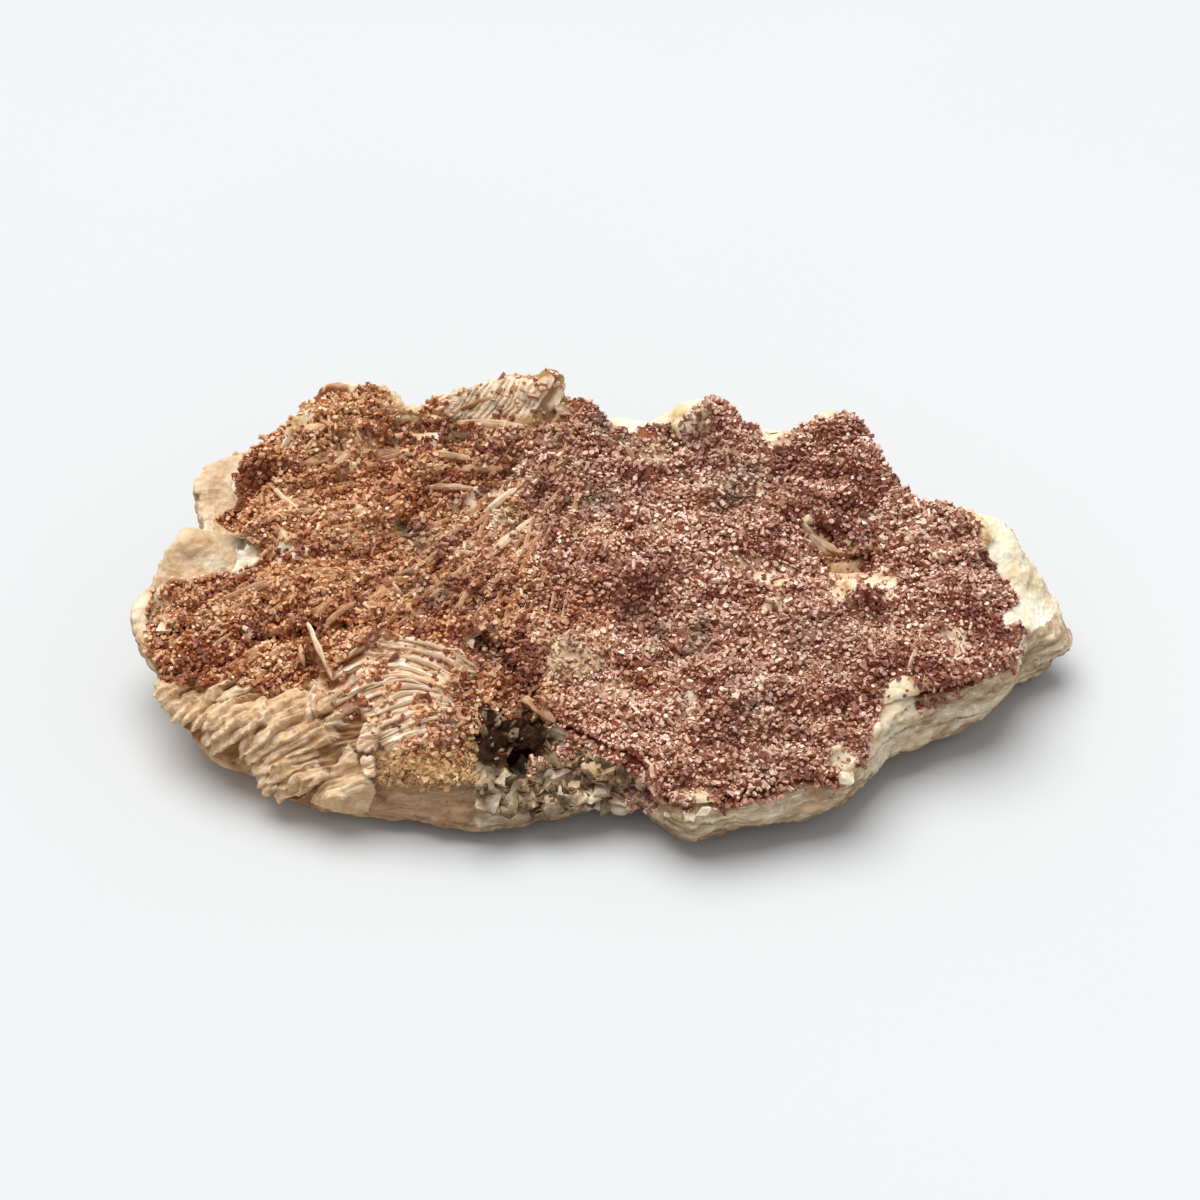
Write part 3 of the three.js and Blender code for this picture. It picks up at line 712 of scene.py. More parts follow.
# %% Shape the bed
SWELLS = (  # the photo's pixel, radius along and across, height in mm
    ((655, 586), 6.5, 3.6, 3.8), ((765, 556), 6.0, 3.6, 2.0), ((700, 545), 7.0, 4.0, 1.4),
    ((560, 590), 6.0, 5.0, 1.2), ((610, 470), 7.0, 5.0, 1.0), ((850, 455), 7.0, 5.0, 1.2),
    ((720, 690), 8.0, 5.0, 1.0), ((940, 610), 7.0, 5.0, 0.9),
)
RIDGE_RISE = 1.7
LEDGE_RISE = 1.0
NEAR_SIDE = 0.5  # reach of a swell's near side, the steeper one, as a share
PEEL = 1.3  # how much deeper than in the slab the pockets are in the bed
bed_points = points_of(bed_mesh) / MM
bed_normals = points_of(bed_mesh, "normal")
fanned = sheaf(bed_points)
ridges = blade_ridges(bed_points)
ledges = fractal(bed_points, (7, 2.6, 4), 3, 72)
lumps = 0.9 * fractal(bed_points, 9, 2, 76) + 0.6 * fractal(bed_points, 2.6, 2, 80)
rise = fanned * RIDGE_RISE * ridges + (1 - 0.6 * fanned) * LEDGE_RISE * ledges + lumps
for pixel, along, across, height in SWELLS:
    gap = bed_points - seen_at(first_rock, [pixel])[0]
    front = np.where(gap[:, 1] < 0, NEAR_SIDE, 1.0)
    rise = rise + height * np.exp(-((gap[:, 0] / along) ** 2) - (gap[:, 1] / (across * front)) ** 2)
pockets = pocket_depth(bed_points)
rise = (rise - PEEL * pockets) * fade(bed_normals[:, 2], 0.1, 0.5)
on_mound = within(bed_points, MOUND_OUTLINE)
mound_plates = on_mound * fold_height(pixel_of(bed_points), MOUND_BLADES, MOUND_FALL)
rise = rise * (1 - CALM * on_mound) + MOUND_RISE * mound_plates
print("bed moves by", round(rise.min(), 2), "to", round(rise.max(), 2), "mm")

# %% Paint the bed and move it
paint(bed_mesh, "crest", np.maximum(ridges * fanned, 0.6 * on_mound + 0.6 * mound_plates))
bare = np.maximum(1 - crusted(bed_points), 0.75 * thinned(bed_points))
paint(bed_mesh, "bare", np.maximum(bare, 0.8 * fade(mound_plates, 0.5, 0.9)))
# sunk: painted shade, dark olive in the deep pockets and in the cleft behind the left knob
paint(bed_mesh, "sunk", np.maximum(fade(pockets, 1.0, 2.2), fade(in_cleft(bed_points), 0.1, 0.5)))
bed_points[:, 2] += rise
move_points(bed_mesh, bed_points)
rock = surface_of(matrix_mesh, bed_mesh)
bed_cover = surface_of(bed_mesh)
print("bare share of the bed:", round(float(bare.mean()), 2))

# %% [markdown]
# The slab's colour changes from place to place: chalky cream where it is bare on top, grey-beige on broken
# walls, warm tan down the flank and red-brown under the crystals. Painted shade darkens the walls where they
# turn to face down, the grooves between the flank's plates and between the mound's plates, and, nearly
# black, the hollow of the front edge, its cavity and the cleft behind the left knob. Each of these is a
# number from 0 to 1 at every point, worked out from where the point is and which way it faces, and the
# material mixes its colours by them. Crystals stand on the slab only where it faces up and to the front, so
# that comes first.

# %% Where crystals can stand on the slab
BEHIND_FEATHER = (-27, -9)  # x and y of the saddle behind the feather, and its reach
BEHIND_REACH = (15, 8)


def can_stand(points, facing):
    """1 where the slab faces up and to the front, or lies behind the feather."""
    gap = (points[:, :2] - BEHIND_FEATHER) / BEHIND_REACH
    behind = fade((gap**2).sum(axis=1), 1.2, 0.7)
    return fade(facing[:, 2], 0.2, 0.5) * np.maximum(fade(facing @ -LOOK_AHEAD, 0.2, 0.45), behind)


matrix_normals = points_of(matrix_mesh, "normal")
ground = crusted(matrix_points) * can_stand(matrix_points, matrix_normals)
print("share of the slab under crystals:", round(float(ground.mean()), 2))

# %% Paint the slab's zones
NOTCH_EDGE = 16  # pixels that the notch's edge wavers
tilt = matrix_normals[:, 2]
x, y = matrix_points.T[:2]
right_end = fade(x, 48, 56)
back_rim = fade(y, 18, 26) * fade(x, -8, 0)
feathered = within(matrix_points, FEATHER_OUTLINE) * fade(tilt, -0.2, 0.2)
smooth = within(matrix_points, SMOOTH_PLATE)
notch = 0.75 * within(matrix_points, NOTCH_OUTLINE, NOTCH_EDGE)
walls = fade(tilt, 0.6, 0.25) * (1 - 0.85 * flank)
patches = fractal(matrix_points, (6, 6, 3), 3, 58)
zones = {
    "cream": fade(tilt, 0.1, 0.55) * np.clip(0.35 + 0.65 * right_end + 0.5 * back_rim, 0, 1),
    "wall": np.maximum(walls, within(matrix_points, NOSE_WALL)),
    "chalk": np.maximum(notch, 0.6 * walls * fade(patches, 0.05, 0.4) * fade(tilt, -0.3, 0.2)),
    # painted shade: the walls grow darker where they turn to face down, away from the lamp
    "shade": 0.7 * walls * fade(tilt + 0.3 * patches, 0.0, -0.4),
    "fold": flank * np.clip(0.25 + 0.9 * plates + 0.4 * smooth, 0, 1) * towards,
    # painted shade: dark brown where the flank's plates stand low, in the grooves between them
    "groove": flank * towards * (1 - smooth) * fade(plates + 0.15 * folds + 0.15 * threads, 0.42, 0.12),
    "rosy": within(matrix_points, ROSY_OUTLINE),
    "ochre": within(matrix_points, OCHRE_OUTLINE),
    "ground": np.maximum(ground * (1 - mound), 0.7 * feathered * fade(sheets, 0.4, 0.15)),
    "plume": np.maximum.reduce([
        feathered * fade(sheets, 0.1, 0.7), fade(uprights, 0.1, 0.4), 0.6 * fade(steps, 0.3, 0.8)]),
    # painted shade: thin dark lines in the fine grooves along the flank, and in the gaps between the mound's
    # plates
    "painted_crease_shade": np.maximum(
        0.35 * flank * towards * fade(threads, 0.4, 0.1), 0.8 * mound * fade(steps, 0.4, 0.1)),
    # painted shade: the hollow of the front edge, its cavity and the cleft behind the left knob, nearly
    # black
    "painted_recess_shade": np.maximum.reduce([
        np.clip(1.6 * hollow, 0, 1), within(matrix_points, CAVITY_OUTLINE), in_cleft(matrix_points)]),
}
for zone, share in zones.items():
    paint(matrix_mesh, zone, share)
print("zones:", ", ".join(zones))

# %% [markdown]
# ## Baryte, broken and weathered
# Natural baryte is white to cream with a dull to glassy surface and an IOR of about 1.64. Weathering and
# iron stain it tan and orange, and broken walls look grey-beige. To the eye it is a chalky stone with soft
# mottling, faint layers and fine pits, so the colour mixes several noises and the bump is finer than the
# mesh. Its weathered skin hardly shines, so the IOR and the specular level are set lower.

# %% Baryte material
baryte, tree = new_material("weathered_baryte")
spot = add(tree, "NewGeometry").outputs["Position"]
mottle = add(tree, "TexNoise", {"Vector": spot, "Scale": 1 / (7 * MM), "Detail": 7.0, "Roughness": 0.66})
grain = add(tree, "TexNoise", {"Vector": spot, "Scale": 1 / (1.6 * MM), "Detail": 5.0, "Roughness": 0.72})
squash = add(tree, "Mapping", {"Vector": spot, "Scale": (0.6, 0.6, 2.4)})
streak = add(tree, "TexNoise", {"Vector": squash.outputs["Vector"], "Scale": 1 / (2.4 * MM), "Detail": 7.0,
                                "Roughness": 0.68})
shades = {  # what each zone's colours follow, and its colours
    "tan": (mottle, [(0.3, "#A06C40"), (0.68, "#F0D7B2"), (0.5, "#D3A878")]),
    "cream": (mottle, [(0.3, "#D9AE76"), (0.62, "#FBF4E4"), (0.44, "#F0DFBC")]),
    "wall": (streak, [(0.32, "#8A6A4C"), (0.68, "#EEDFC6"), (0.5, "#BEA282")]),
    "chalk": (streak, [(0.32, "#C9AE88"), (0.66, "#FAF0DE"), (0.5, "#E9D6B8")]),
    "shade": (streak, [(0.32, "#5E4730"), (0.68, "#AE9272"), (0.5, "#846A4C")]),
    "fold": (grain, [(0.3, "#B58A5E"), (0.7, "#F8E4C6"), (0.5, "#DCBA90")]),
    "groove": (grain, [(0.3, "#5E3A1E"), (0.7, "#9C7048")]),
    "rosy": (streak, [(0.3, "#805C40"), (0.7, "#CBA684")]),
    "ochre": (grain, [(0.35, "#7C5632"), (0.65, "#DFC59A"), (0.5, "#AE8658")]),
    "ground": (mottle, [(0.3, "#5A2413"), (0.7, "#A8683F"), (0.5, "#7E3C22")]),
    "plume": (streak, [(0.32, "#C68E62"), (0.68, "#FFF4E2"), (0.5, "#EBCBA8")]),
    "painted_crease_shade": (mottle, [(0.35, "#7A4A28"), (0.65, "#B98A5C")]),
    "painted_recess_shade": (grain, [(0.35, "#120803"), (0.68, "#6E4724"), (0.55, "#371D0A")]),
}
stone_colours = {
    zone: add(tree, "ValToRGB", {"Fac": driver.outputs["Fac"]}, stops=stops).outputs["Color"]
    for zone, (driver, stops) in shades.items()
}
mixed = stone_colours.pop("tan")
for zone, colour in stone_colours.items():
    share = add(tree, "Attribute", attribute_name=zone).outputs["Fac"]
    mixed = add(tree, "Mix", {"Factor": share, COLOUR_A: mixed, COLOUR_B: colour},
                data_type="RGBA").outputs[COLOUR_OUT]
pits = add(tree, "TexVoronoi", {"Vector": spot, "Scale": 1 / (1.1 * MM)})
relief = add(tree, "Math", {0: grain.outputs["Fac"], 1: pits.outputs["Distance"]}, operation="ADD")
finish(tree, mixed, grain.outputs["Fac"], (0.7, 0.95), relief.outputs["Value"], (0.7, 0.4),
       {"IOR": 1.5, "Specular IOR Level": 0.15})
place("baryte_slab", matrix_mesh, baryte, "baryte", True, ["baryte_matrix"])

# %% [markdown]
# Between the crystals the bed is dark red-brown. Its combed crests are tan, and where the crust has come off
# it shows cream rock with an ochre stain. Its deep pockets and the cleft behind the left knob are dark
# olive, which is painted shade. Each colour is laid over the one before it, by the share that was painted on
# the bed.

# %% Bed material
bed_material, tree = new_material("vanadinite_ground")
spot = add(tree, "NewGeometry").outputs["Position"]
mottle = add(tree, "TexNoise", {"Vector": spot, "Scale": 1 / (4 * MM), "Detail": 6.0, "Roughness": 0.65})
grain = add(tree, "TexNoise", {"Vector": spot, "Scale": 1 / (0.8 * MM), "Detail": 3.0})
layers = {
    "ground": [(0.3, "#56220F"), (0.7, "#A66636"), (0.5, "#7A3A1C")],
    "crest": [(0.35, "#B8783F"), (0.65, "#E6BE90")],
    "bare": [(0.32, "#A9763C"), (0.64, "#FAEFD8"), (0.46, "#E8CDA0")],
    # painted shade in the deep pockets and the cleft
    "sunk": [(0.35, "#3A2C1A"), (0.65, "#8F7F62")],
}
colours = {name: add(tree, "ValToRGB", {"Fac": mottle.outputs["Fac"]}, stops=stops).outputs["Color"]
           for name, stops in layers.items()}
mixed = colours.pop("ground")
for name, colour in colours.items():
    share = add(tree, "Attribute", attribute_name=name).outputs["Fac"]
    if name == "crest":  # only the upper part of a ridge is pale
        share = add(tree, "MapRange", {"Value": share, "From Min": 0.6, "From Max": 0.9}).outputs["Result"]
    mixed = add(tree, "Mix", {"Factor": share, COLOUR_A: mixed, COLOUR_B: colour},
                data_type="RGBA").outputs[COLOUR_OUT]
finish(tree, mixed, grain.outputs["Fac"], (0.65, 0.95), grain.outputs["Fac"], (0.8, 0.4), {})
place("vanadinite_bed", bed_mesh, bed_material, "vanadinite", True, ["vanadinite_crust"])

# %% [markdown]
# ## Blades of baryte
# Baryte grows as thin blades, and broken blades show as tilted plates with bright edges and dark gaps
# between. Each one here is a sleeve of rings along a line: its crest is at the far side, ragged, and from
# there it slopes towards the viewer, and its root lies in the rock. A blade's line is traced in the photo,
# or follows the fan of buried blades.

# %% One blade
BLADE_RINGS = 15
BLADE_PROFILE = np.array([  # far to near as a share of the thickness, up as a share of the height or depth
    (-0.5, -1), (-0.5, 0.5), (-0.4, 1), (-0.18, 0.95), (0.12, 0.66), (0.38, 0.34), (0.5, 0), (0.5, -1)])
BLADE_SECTION = len(BLADE_PROFILE)
BLADE_POINTS = BLADE_RINGS * BLADE_SECTION
BLADE_TIP = 0.06  # height left at a blade's ends, as a share
RAGGED_CELL = 1.8


def blade(line, outward, thickness, height, depth, random):
    """Points of a blade, ring by ring, with each point's place towards the crest and along the line."""
    step = np.linspace(0, 1, BLADE_RINGS)
    knots = np.linspace(0, 1, len(line))
    curves = [np.polyfit(knots, line[:, axis], len(line) - 1) for axis in range(3)]
    spine = np.stack([np.polyval(curve, step) for curve in curves], axis=1)
    heading = unit(np.gradient(spine, axis=0))
    side = unit(np.cross(heading, outward))
    out = np.cross(side, heading)
    run = step * np.linalg.norm(line[-1] - line[0])
    track = np.stack([run, 0 * run, 0 * run], axis=1) + random.uniform(0, 50, 3)
    ragged = 1 + 0.4 * fractal(track, RAGGED_CELL, 3, 300)
    sway = 0.1 * fractal(track, 2.2, 2, 305)
    middle = np.linspace(-1, 1, BLADE_RINGS)
    pinch = np.maximum(BLADE_TIP, 1 - np.abs(middle) ** 2.4)
    across, up = BLADE_PROFILE.T
    lift = np.where(up > 0, height * up * (pinch * ragged)[:, None], depth * up)
    uneven = pinch**0.7 + 0.25 * fractal(track + 9, 1.2, 2, 308)
    wide = thickness * across * uneven[:, None] + sway[:, None]
    points = spine[:, None] + side[:, None] * wide[:, :, None] + out[:, None] * lift[:, :, None]
    crest = np.broadcast_to(np.maximum(up, 0), wide.shape)
    along = np.broadcast_to(run[:, None], wide.shape)
    return points.reshape(-1, 3), crest.ravel(), along.ravel()


ring = np.arange(BLADE_SECTION)
after = np.roll(ring, -1)
ring_quads = np.stack([ring, after, after + BLADE_SECTION, ring + BLADE_SECTION], axis=1)
BLADE_QUADS = np.concatenate([ring_quads + BLADE_SECTION * k for k in range(BLADE_RINGS - 1)])
BLADE_ENDS = np.stack([ring[::-1], ring + BLADE_SECTION * (BLADE_RINGS - 1)])
print("a blade has", BLADE_POINTS, "points")

# %% Many blades in one mesh
def blades_mesh(name, blades, tones):
    """One mesh of many blades, painted with each one's tone and each point's crest and run."""
    points, crests, runs = (np.concatenate(part) for part in zip(*blades))
    steps = (np.arange(len(blades)) * BLADE_POINTS)[:, None, None]
    quads = (BLADE_QUADS + steps).reshape(-1, 4)
    mesh = mesh_of(name, points, [quads, (BLADE_ENDS + steps).reshape(-1, BLADE_SECTION)])
    shape = bmesh.new()
    shape.from_mesh(mesh)
    bmesh.ops.recalc_face_normals(shape, faces=shape.faces)
    shape.to_mesh(mesh)
    shape.free()
    paint(mesh, "crest", crests)
    paint(mesh, "run", runs)
    paint(mesh, "tone", np.repeat(tones, BLADE_POINTS))
    return mesh


def traced(lines, outward, thickness, height, depth, random):
    """Blades along lines traced in the photo. thickness and height are lowest and highest sizes."""
    made = []
    for line in lines:
        places = seen_at(rock, line)
        if len(places) > 1:
            width, tall = random.uniform(*thickness), random.uniform(*height)
            made.append(blade(places, outward, width, tall, depth, random))
    return made


print("faces of a blade:", len(BLADE_QUADS) + len(BLADE_ENDS))

# %% [markdown]
# A fresh blade is pearly white to pinkish along its crest and tan to red-brown towards the rock, with fine
# streaks along its length. They are drawn at about a third of a millimetre, a little coarser than life.

# %% Pearly baryte
pearly, tree = new_material("pearly_baryte_blade")
seen = {name: add(tree, "Attribute", attribute_name=name).outputs["Fac"]
        for name in ("crest", "tone", "run")}
spot = add(tree, "NewGeometry").outputs["Position"]
mottle = add(tree, "TexNoise", {"Vector": spot, "Scale": 1 / (2.0 * MM), "Detail": 5.0, "Roughness": 0.7})
strip = add(tree, "CombineXYZ", {"X": seen["run"], "Y": seen["crest"], "Z": seen["tone"]})
stretch = add(tree, "Mapping", {"Vector": strip.outputs["Vector"], "Scale": (0.35, 6, 60)})
stria = add(tree, "TexNoise", {"Vector": stretch.outputs["Vector"], "Scale": 1.0, "Detail": 3.0})
tan = add(tree, "ValToRGB", {"Fac": mottle.outputs["Fac"]},
          stops=[(0.3, "#7E4420"), (0.7, "#DDB182"), (0.5, "#B57B48")])
white = add(tree, "ValToRGB", {"Fac": stria.outputs["Fac"]},
            stops=[(0.3, "#D8A678"), (0.64, "#FFF4DE"), (0.47, "#F2D6B0")])
towards_crest = add(tree, "MapRange", {"Value": seen["crest"], "From Min": 0.1, "From Max": 0.75})
bright = add(tree, "Math", {0: towards_crest.outputs["Result"], 1: seen["tone"]}, operation="MULTIPLY")
mixed = add(tree, "Mix", {"Factor": bright.outputs["Value"], COLOUR_A: tan.outputs["Color"],
                          COLOUR_B: white.outputs["Color"]}, data_type="RGBA")
relief = add(tree, "Math", {0: mottle.outputs["Fac"], 1: stria.outputs["Fac"]}, operation="ADD")
finish(tree, mixed.outputs[COLOUR_OUT], mottle.outputs["Fac"], (0.45, 0.8), relief.outputs["Value"],
       (0.7, 0.25), {"IOR": 1.64, "Specular IOR Level": 0.25})
print(pearly.name, "has", len(tree.nodes), "nodes")

# %% [markdown]
# ## The feather's edges, needles and slivers
# The feather's plates are part of the slab already. A thin pointed blade along each traced edge gives it
# the bright, broken rim of the real plate. Needles lie about on the crust, a few stout blades stand out of
# it, and of the buried ones only the crests show. All of them are traced from left to right in the photo's
# pixels.

# %% Feather and slivers
NEEDLES = (
    ((307, 621), (318, 648), (334, 682)), ((300, 644), (302, 656), (305, 669)),
    ((273, 488), (288, 503), (305, 519)), ((388, 577), (396, 588), (404, 599)),
    ((352, 425), (357, 435), (362, 446)), ((345, 432), (352, 438), (360, 444)),
    ((422, 489), (450, 488), (480, 489)), ((565, 640), (570, 634), (576, 630)),
    ((908, 672), (912, 660), (917, 650)), ((622, 446), (628, 452), (634, 462)),
)
STOUT_BLADES = (
    ((487, 561), (510, 538), (535, 522), (560, 510)), ((478, 522), (497, 504), (517, 488)),
    ((439, 424), (485, 424), (531, 428)), ((327, 478), (341, 462), (356, 446)),
    ((803, 519), (809, 535), (824, 546), (849, 552)), ((806, 528), (813, 541), (826, 551), (846, 556)),
)
BURIED_BLADES = (
    ((343, 457), (378, 453), (412, 453)), ((404, 455), (440, 455), (477, 460)),
    ((231, 596), (242, 588), (254, 580)), ((520, 697), (538, 708), (556, 724)),
    ((300, 464), (332, 457), (362, 453)), ((640, 536), (658, 528), (680, 522)),
    ((452, 470), (480, 468), (508, 470)),
)
BLADE_SETS = (  # lines, the way out of the rock, thickness and height from low to high, depth of the root
    (FEATHER, (0.05, -0.35, 0.94), (0.5, 0.9), (0.3, 0.7), 1.6),
    (NEEDLES, (0, -0.5, 0.86), (0.7, 1.0), (0.8, 1.1), 1.0),
    (STOUT_BLADES, (0, -0.45, 0.9), (1.3, 1.9), (0.5, 0.8), 1.6),
    (BURIED_BLADES, (0, -0.45, 0.9), (1.0, 1.7), (0.35, 0.6), 1.6),
)
BRIGHT_TONES = (0.5, 0.95)
BURIED_TONES = (0.1, 0.4)
random = np.random.default_rng(21)
stacks = [traced(*blade_set, random) for blade_set in BLADE_SETS]
bright_blades = sum(stacks, [])
buried_count = len(stacks[-1])
tones = np.concatenate([random.uniform(*BRIGHT_TONES, len(bright_blades) - buried_count),
                        random.uniform(*BURIED_TONES, buried_count)])
bright_mesh = blades_mesh("bright_blades", bright_blades, tones)
place("baryte_feather_and_slivers", bright_mesh, pearly, "baryte", False)

# %% [markdown]
# ## The combed blades
# Over the left half, the edges of the buried blades show through the crust as tan streaks. They are too
# many to trace, so they are drawn at random along the fan, each standing a little out of the bed.

# %% Combed blades
COMB_COUNT = 200
COMB_LENGTH = (4, 12)
COMB_FRONT, COMB_BACK = -24, 30
COMB_LEFT, COMB_RIGHT = -70, 4
COMB_SLOPE = 0.35  # the steepest that a blade may lie, and how far its middle may stand off, by its length
COMB_BEND = 0.08
COMB_THICKNESS = (0.4, 1.0)
COMB_HEIGHT = (0.3, 0.7)
COMB_DEPTH = 1.2
COMB_TONES = (0.0, 0.35)
ABOVE_ALL = 60  # a height over everything


def on_rock(x, y):
    hit = rock.ray_cast(Vector((x, y, ABOVE_ALL)), Vector((0, 0, -1)))[0]
    return np.array(hit if hit is not None else (x, y, 0))


comb = []
random = np.random.default_rng(33)
while len(comb) < COMB_COUNT:
    start = np.array([random.uniform(COMB_LEFT, COMB_RIGHT), random.uniform(COMB_FRONT, COMB_BACK)])
    heading = unit(np.array(FAN_CENTRE) - start + random.normal(0, 4, 2))
    length = random.uniform(*COMB_LENGTH)
    line = np.array([on_rock(*(start + heading * length * share)) for share in (0, 0.5, 1)])
    bend = abs(line[1, 2] - line[[0, 2], 2].mean())
    flat = np.ptp(line[:, 2]) < COMB_SLOPE * length and bend < COMB_BEND * length
    shows = random.random() < sheaf(line).mean()
    if flat and shows and crusted(line).all():
        width, tall = random.uniform(*COMB_THICKNESS), random.uniform(*COMB_HEIGHT)
        comb.append(blade(line, (0, -0.3, 0.95), width, tall, COMB_DEPTH, random))
comb_mesh = blades_mesh("comb", comb, random.uniform(*COMB_TONES, len(comb)))
place("baryte_combed_blades", comb_mesh, pearly, "baryte", False)

# %% [markdown]
# ## Blocks in the front hollow, rubble and chips
# The hollow in the front edge holds blocky grey baryte, with dirty rubble about it. A crumbly ochre band
# lies to its left, and pale chips lie on the crust where blades have snapped. Each is a cube with bevelled
# edges and shaken corners, part sunk at its place. The large ones are traced, and the rest are drawn at
# random.

# %% Draw places on a surface
NEVER = 1e-12  # a chance too small to be drawn, which keeps the sum of all chances above nothing


def scatter(mesh, chance, draws, cell, seed):
    """Places on a mesh about a cell apart, with the surface's direction at each."""
    random = np.random.default_rng(seed)
    a, b, c = np.moveaxis((points_of(mesh) / MM)[triangles_of(mesh)], 1, 0)
    cross = np.cross(b - a, c - a)
    size = np.linalg.norm(cross, axis=1)
    facing = cross / np.maximum(size, 1e-12)[:, None]
    weight = size * chance((a + b + c) / 3, facing)
    picked = random.choice(len(weight), draws, p=weight / weight.sum())
    s, t = random.random((2, draws, 1))
    s, t = np.where(s + t > 1, 1 - s, s), np.where(s + t > 1, 1 - t, t)
    places = a[picked] + s * (b - a)[picked] + t * (c - a)[picked]
    kept = np.sort(np.unique(np.floor(places / cell).astype(int), axis=0, return_index=True)[1])
    return places[kept], facing[picked][kept]


def in_hollow(middles, facing):
    filled = within(middles, HOLLOW_OUTLINE) * (1 - 0.9 * within(middles, CAVITY_OUTLINE))
    return filled * (facing @ LOOK_AHEAD < 0) + NEVER


def in_ochre_band(middles, facing):
    return within(middles, OCHRE_OUTLINE) * (facing @ LOOK_AHEAD < 0) + NEVER


RUBBLE = (420, 1.4, 63)  # draws, spacing in mm and seed
CRUMBS = (1200, 0.8, 65)
rubble_places = scatter(matrix_mesh, in_hollow, *RUBBLE)[0]
crumb_places = scatter(matrix_mesh, in_ochre_band, *CRUMBS)[0]
print("rubble:", len(rubble_places), "crumbs:", len(crumb_places))

# %% Traced blocks and chips
HOLLOW_BLOCKS = (  # the photo's pixel and the size in mm
    ((486, 792), 3.6), ((511, 790), 4.4), ((564, 778), 5.0), ((550, 800), 3.4), ((592, 786), 4.0),
    ((578, 794), 3.2), ((532, 800), 3.0), ((606, 778), 3.2), ((500, 772), 3.2), ((520, 764), 2.2),
    ((572, 758), 2.8), ((494, 802), 2.6), ((618, 792), 2.6), ((548, 788), 2.8), ((590, 768), 2.4),
    ((480, 772), 2.4), ((604, 800), 2.2),
)
CHIPS = (
    ((690, 705), 2.2), ((703, 806), 2.6), ((696, 790), 1.8), ((846, 772), 2.2), ((655, 465), 1.8),
    ((762, 492), 1.8), ((605, 645), 1.4), ((470, 640), 1.6), ((572, 632), 2.0), ((690, 810), 1.8),
    ((668, 812), 1.2), ((620, 650), 1.4), ((760, 575), 1.6), ((788, 600), 1.6), ((700, 585), 1.4),
    ((868, 520), 1.8), ((860, 526), 1.4), ((885, 578), 1.6), ((885, 540), 1.6), ((930, 556), 1.6),
    ((940, 560), 1.6), ((915, 670), 1.6), ((650, 690), 1.4), ((548, 640), 1.4), ((250, 630), 1.8),
    ((180, 640), 2.0), ((165, 625), 1.8), ((172, 660), 1.8), ((276, 612), 1.4), ((300, 430), 1.8),
    ((285, 440), 2.0), ((660, 420), 1.8), ((770, 434), 1.8), ((790, 432), 1.6), ((630, 426), 1.6),
    ((560, 648), 1.4),
)
print("blocks:", len(HOLLOW_BLOCKS), "chips:", len(CHIPS))

# %% Shape the blocks
BLOCK_SINK = 0.3  # this and the next two are shares of a block's size
BLOCK_SHAKE = 0.17
BLOCK_BEVEL = 0.06
BLOCK_LEAN = 0.8  # radians
RUBBLE_SIZES = (0.6, 2.4)  # mm, from low to high
CRUMB_SIZES = (0.5, 1.3)


def blocks_mesh(name, places, sizes, flatness, seed):
    """One mesh of a block at each place. flatness is the least height as a share of the size."""
    random = np.random.default_rng(seed)
    shape = bmesh.new()
    for centre, size in zip(places, sizes):
        lean = Euler(random.uniform(-BLOCK_LEAN, BLOCK_LEAN, 3) + np.array([0, 0, random.uniform(0, 6)]))
        sides = size * random.uniform((0.8, 0.45, flatness), (1.25, 0.9, 1.5 * flatness))
        spot = Vector(centre - BLOCK_SINK * size * LOOK_UP) * MM
        pose = Matrix.LocRotScale(spot, lean, Vector(sides) * MM)
        made = bmesh.ops.create_cube(shape, size=1, matrix=pose)["verts"]
        for corner in made:
            corner.co += Vector(random.normal(0, BLOCK_SHAKE * size, 3)) * MM
        edges = list({edge for corner in made for edge in corner.link_edges})
        bmesh.ops.bevel(shape, geom=edges, offset=BLOCK_BEVEL * size * MM, segments=1, affect="EDGES")
    bmesh.ops.recalc_face_normals(shape, faces=shape.faces)
    mesh = bpy.data.meshes.new(name)
    shape.to_mesh(mesh)
    shape.free()
    return mesh


def traced_blocks(name, spots, flatness, seed):
    pixels, sizes = zip(*spots)
    return blocks_mesh(name, seen_at(rock, pixels), sizes, flatness, seed)


random = np.random.default_rng(60)
hollow_mesh = traced_blocks("hollow_blocks", HOLLOW_BLOCKS, 0.3, 61)
chip_mesh = traced_blocks("chips", CHIPS, 0.25, 62)
rubble_sizes = random.uniform(*RUBBLE_SIZES, len(rubble_places))
rubble_mesh = blocks_mesh("rubble", rubble_places, rubble_sizes, 0.25, 64)
crumb_sizes = random.uniform(*CRUMB_SIZES, len(crumb_places))
crumb_mesh = blocks_mesh("crumbs", crumb_places, crumb_sizes, 0.7, 66)
print("rubble from", rubble_sizes.min().round(1), "to", rubble_sizes.max().round(1), "mm")

# %% [markdown]
# Unweathered baryte is glassy and cloudy, so the blocks look grey-cream with darker hearts. A chip is a
# fresh break, cream and nearly matte. Rubble is the same stone under dirt, and the ochre crumbs are
# stained with iron. One function makes all four, from the size of the clouds in them, their colours and
# their roughness.

# %% Glassy, fresh, dirty and ochre baryte
def stone(name, cell, stops, roughness):
    material, tree = new_material(name)
    spot = add(tree, "NewGeometry").outputs["Position"]
    cloud = add(tree, "TexNoise", {"Vector": spot, "Scale": 1 / (cell * MM), "Detail": 5.0,
                                   "Roughness": 0.66})
    tint = add(tree, "ValToRGB", {"Fac": cloud.outputs["Fac"]}, stops=stops)
    cracks = add(tree, "TexVoronoi", {"Vector": spot, "Scale": 1 / (0.5 * cell * MM)},
                 feature="DISTANCE_TO_EDGE")
    relief = add(tree, "Math", {0: cloud.outputs["Fac"], 1: cracks.outputs["Distance"]}, operation="ADD")
    finish(tree, tint.outputs["Color"], cloud.outputs["Fac"], roughness, relief.outputs["Value"],
           (0.5, 0.25), {"IOR": 1.64})
    return material


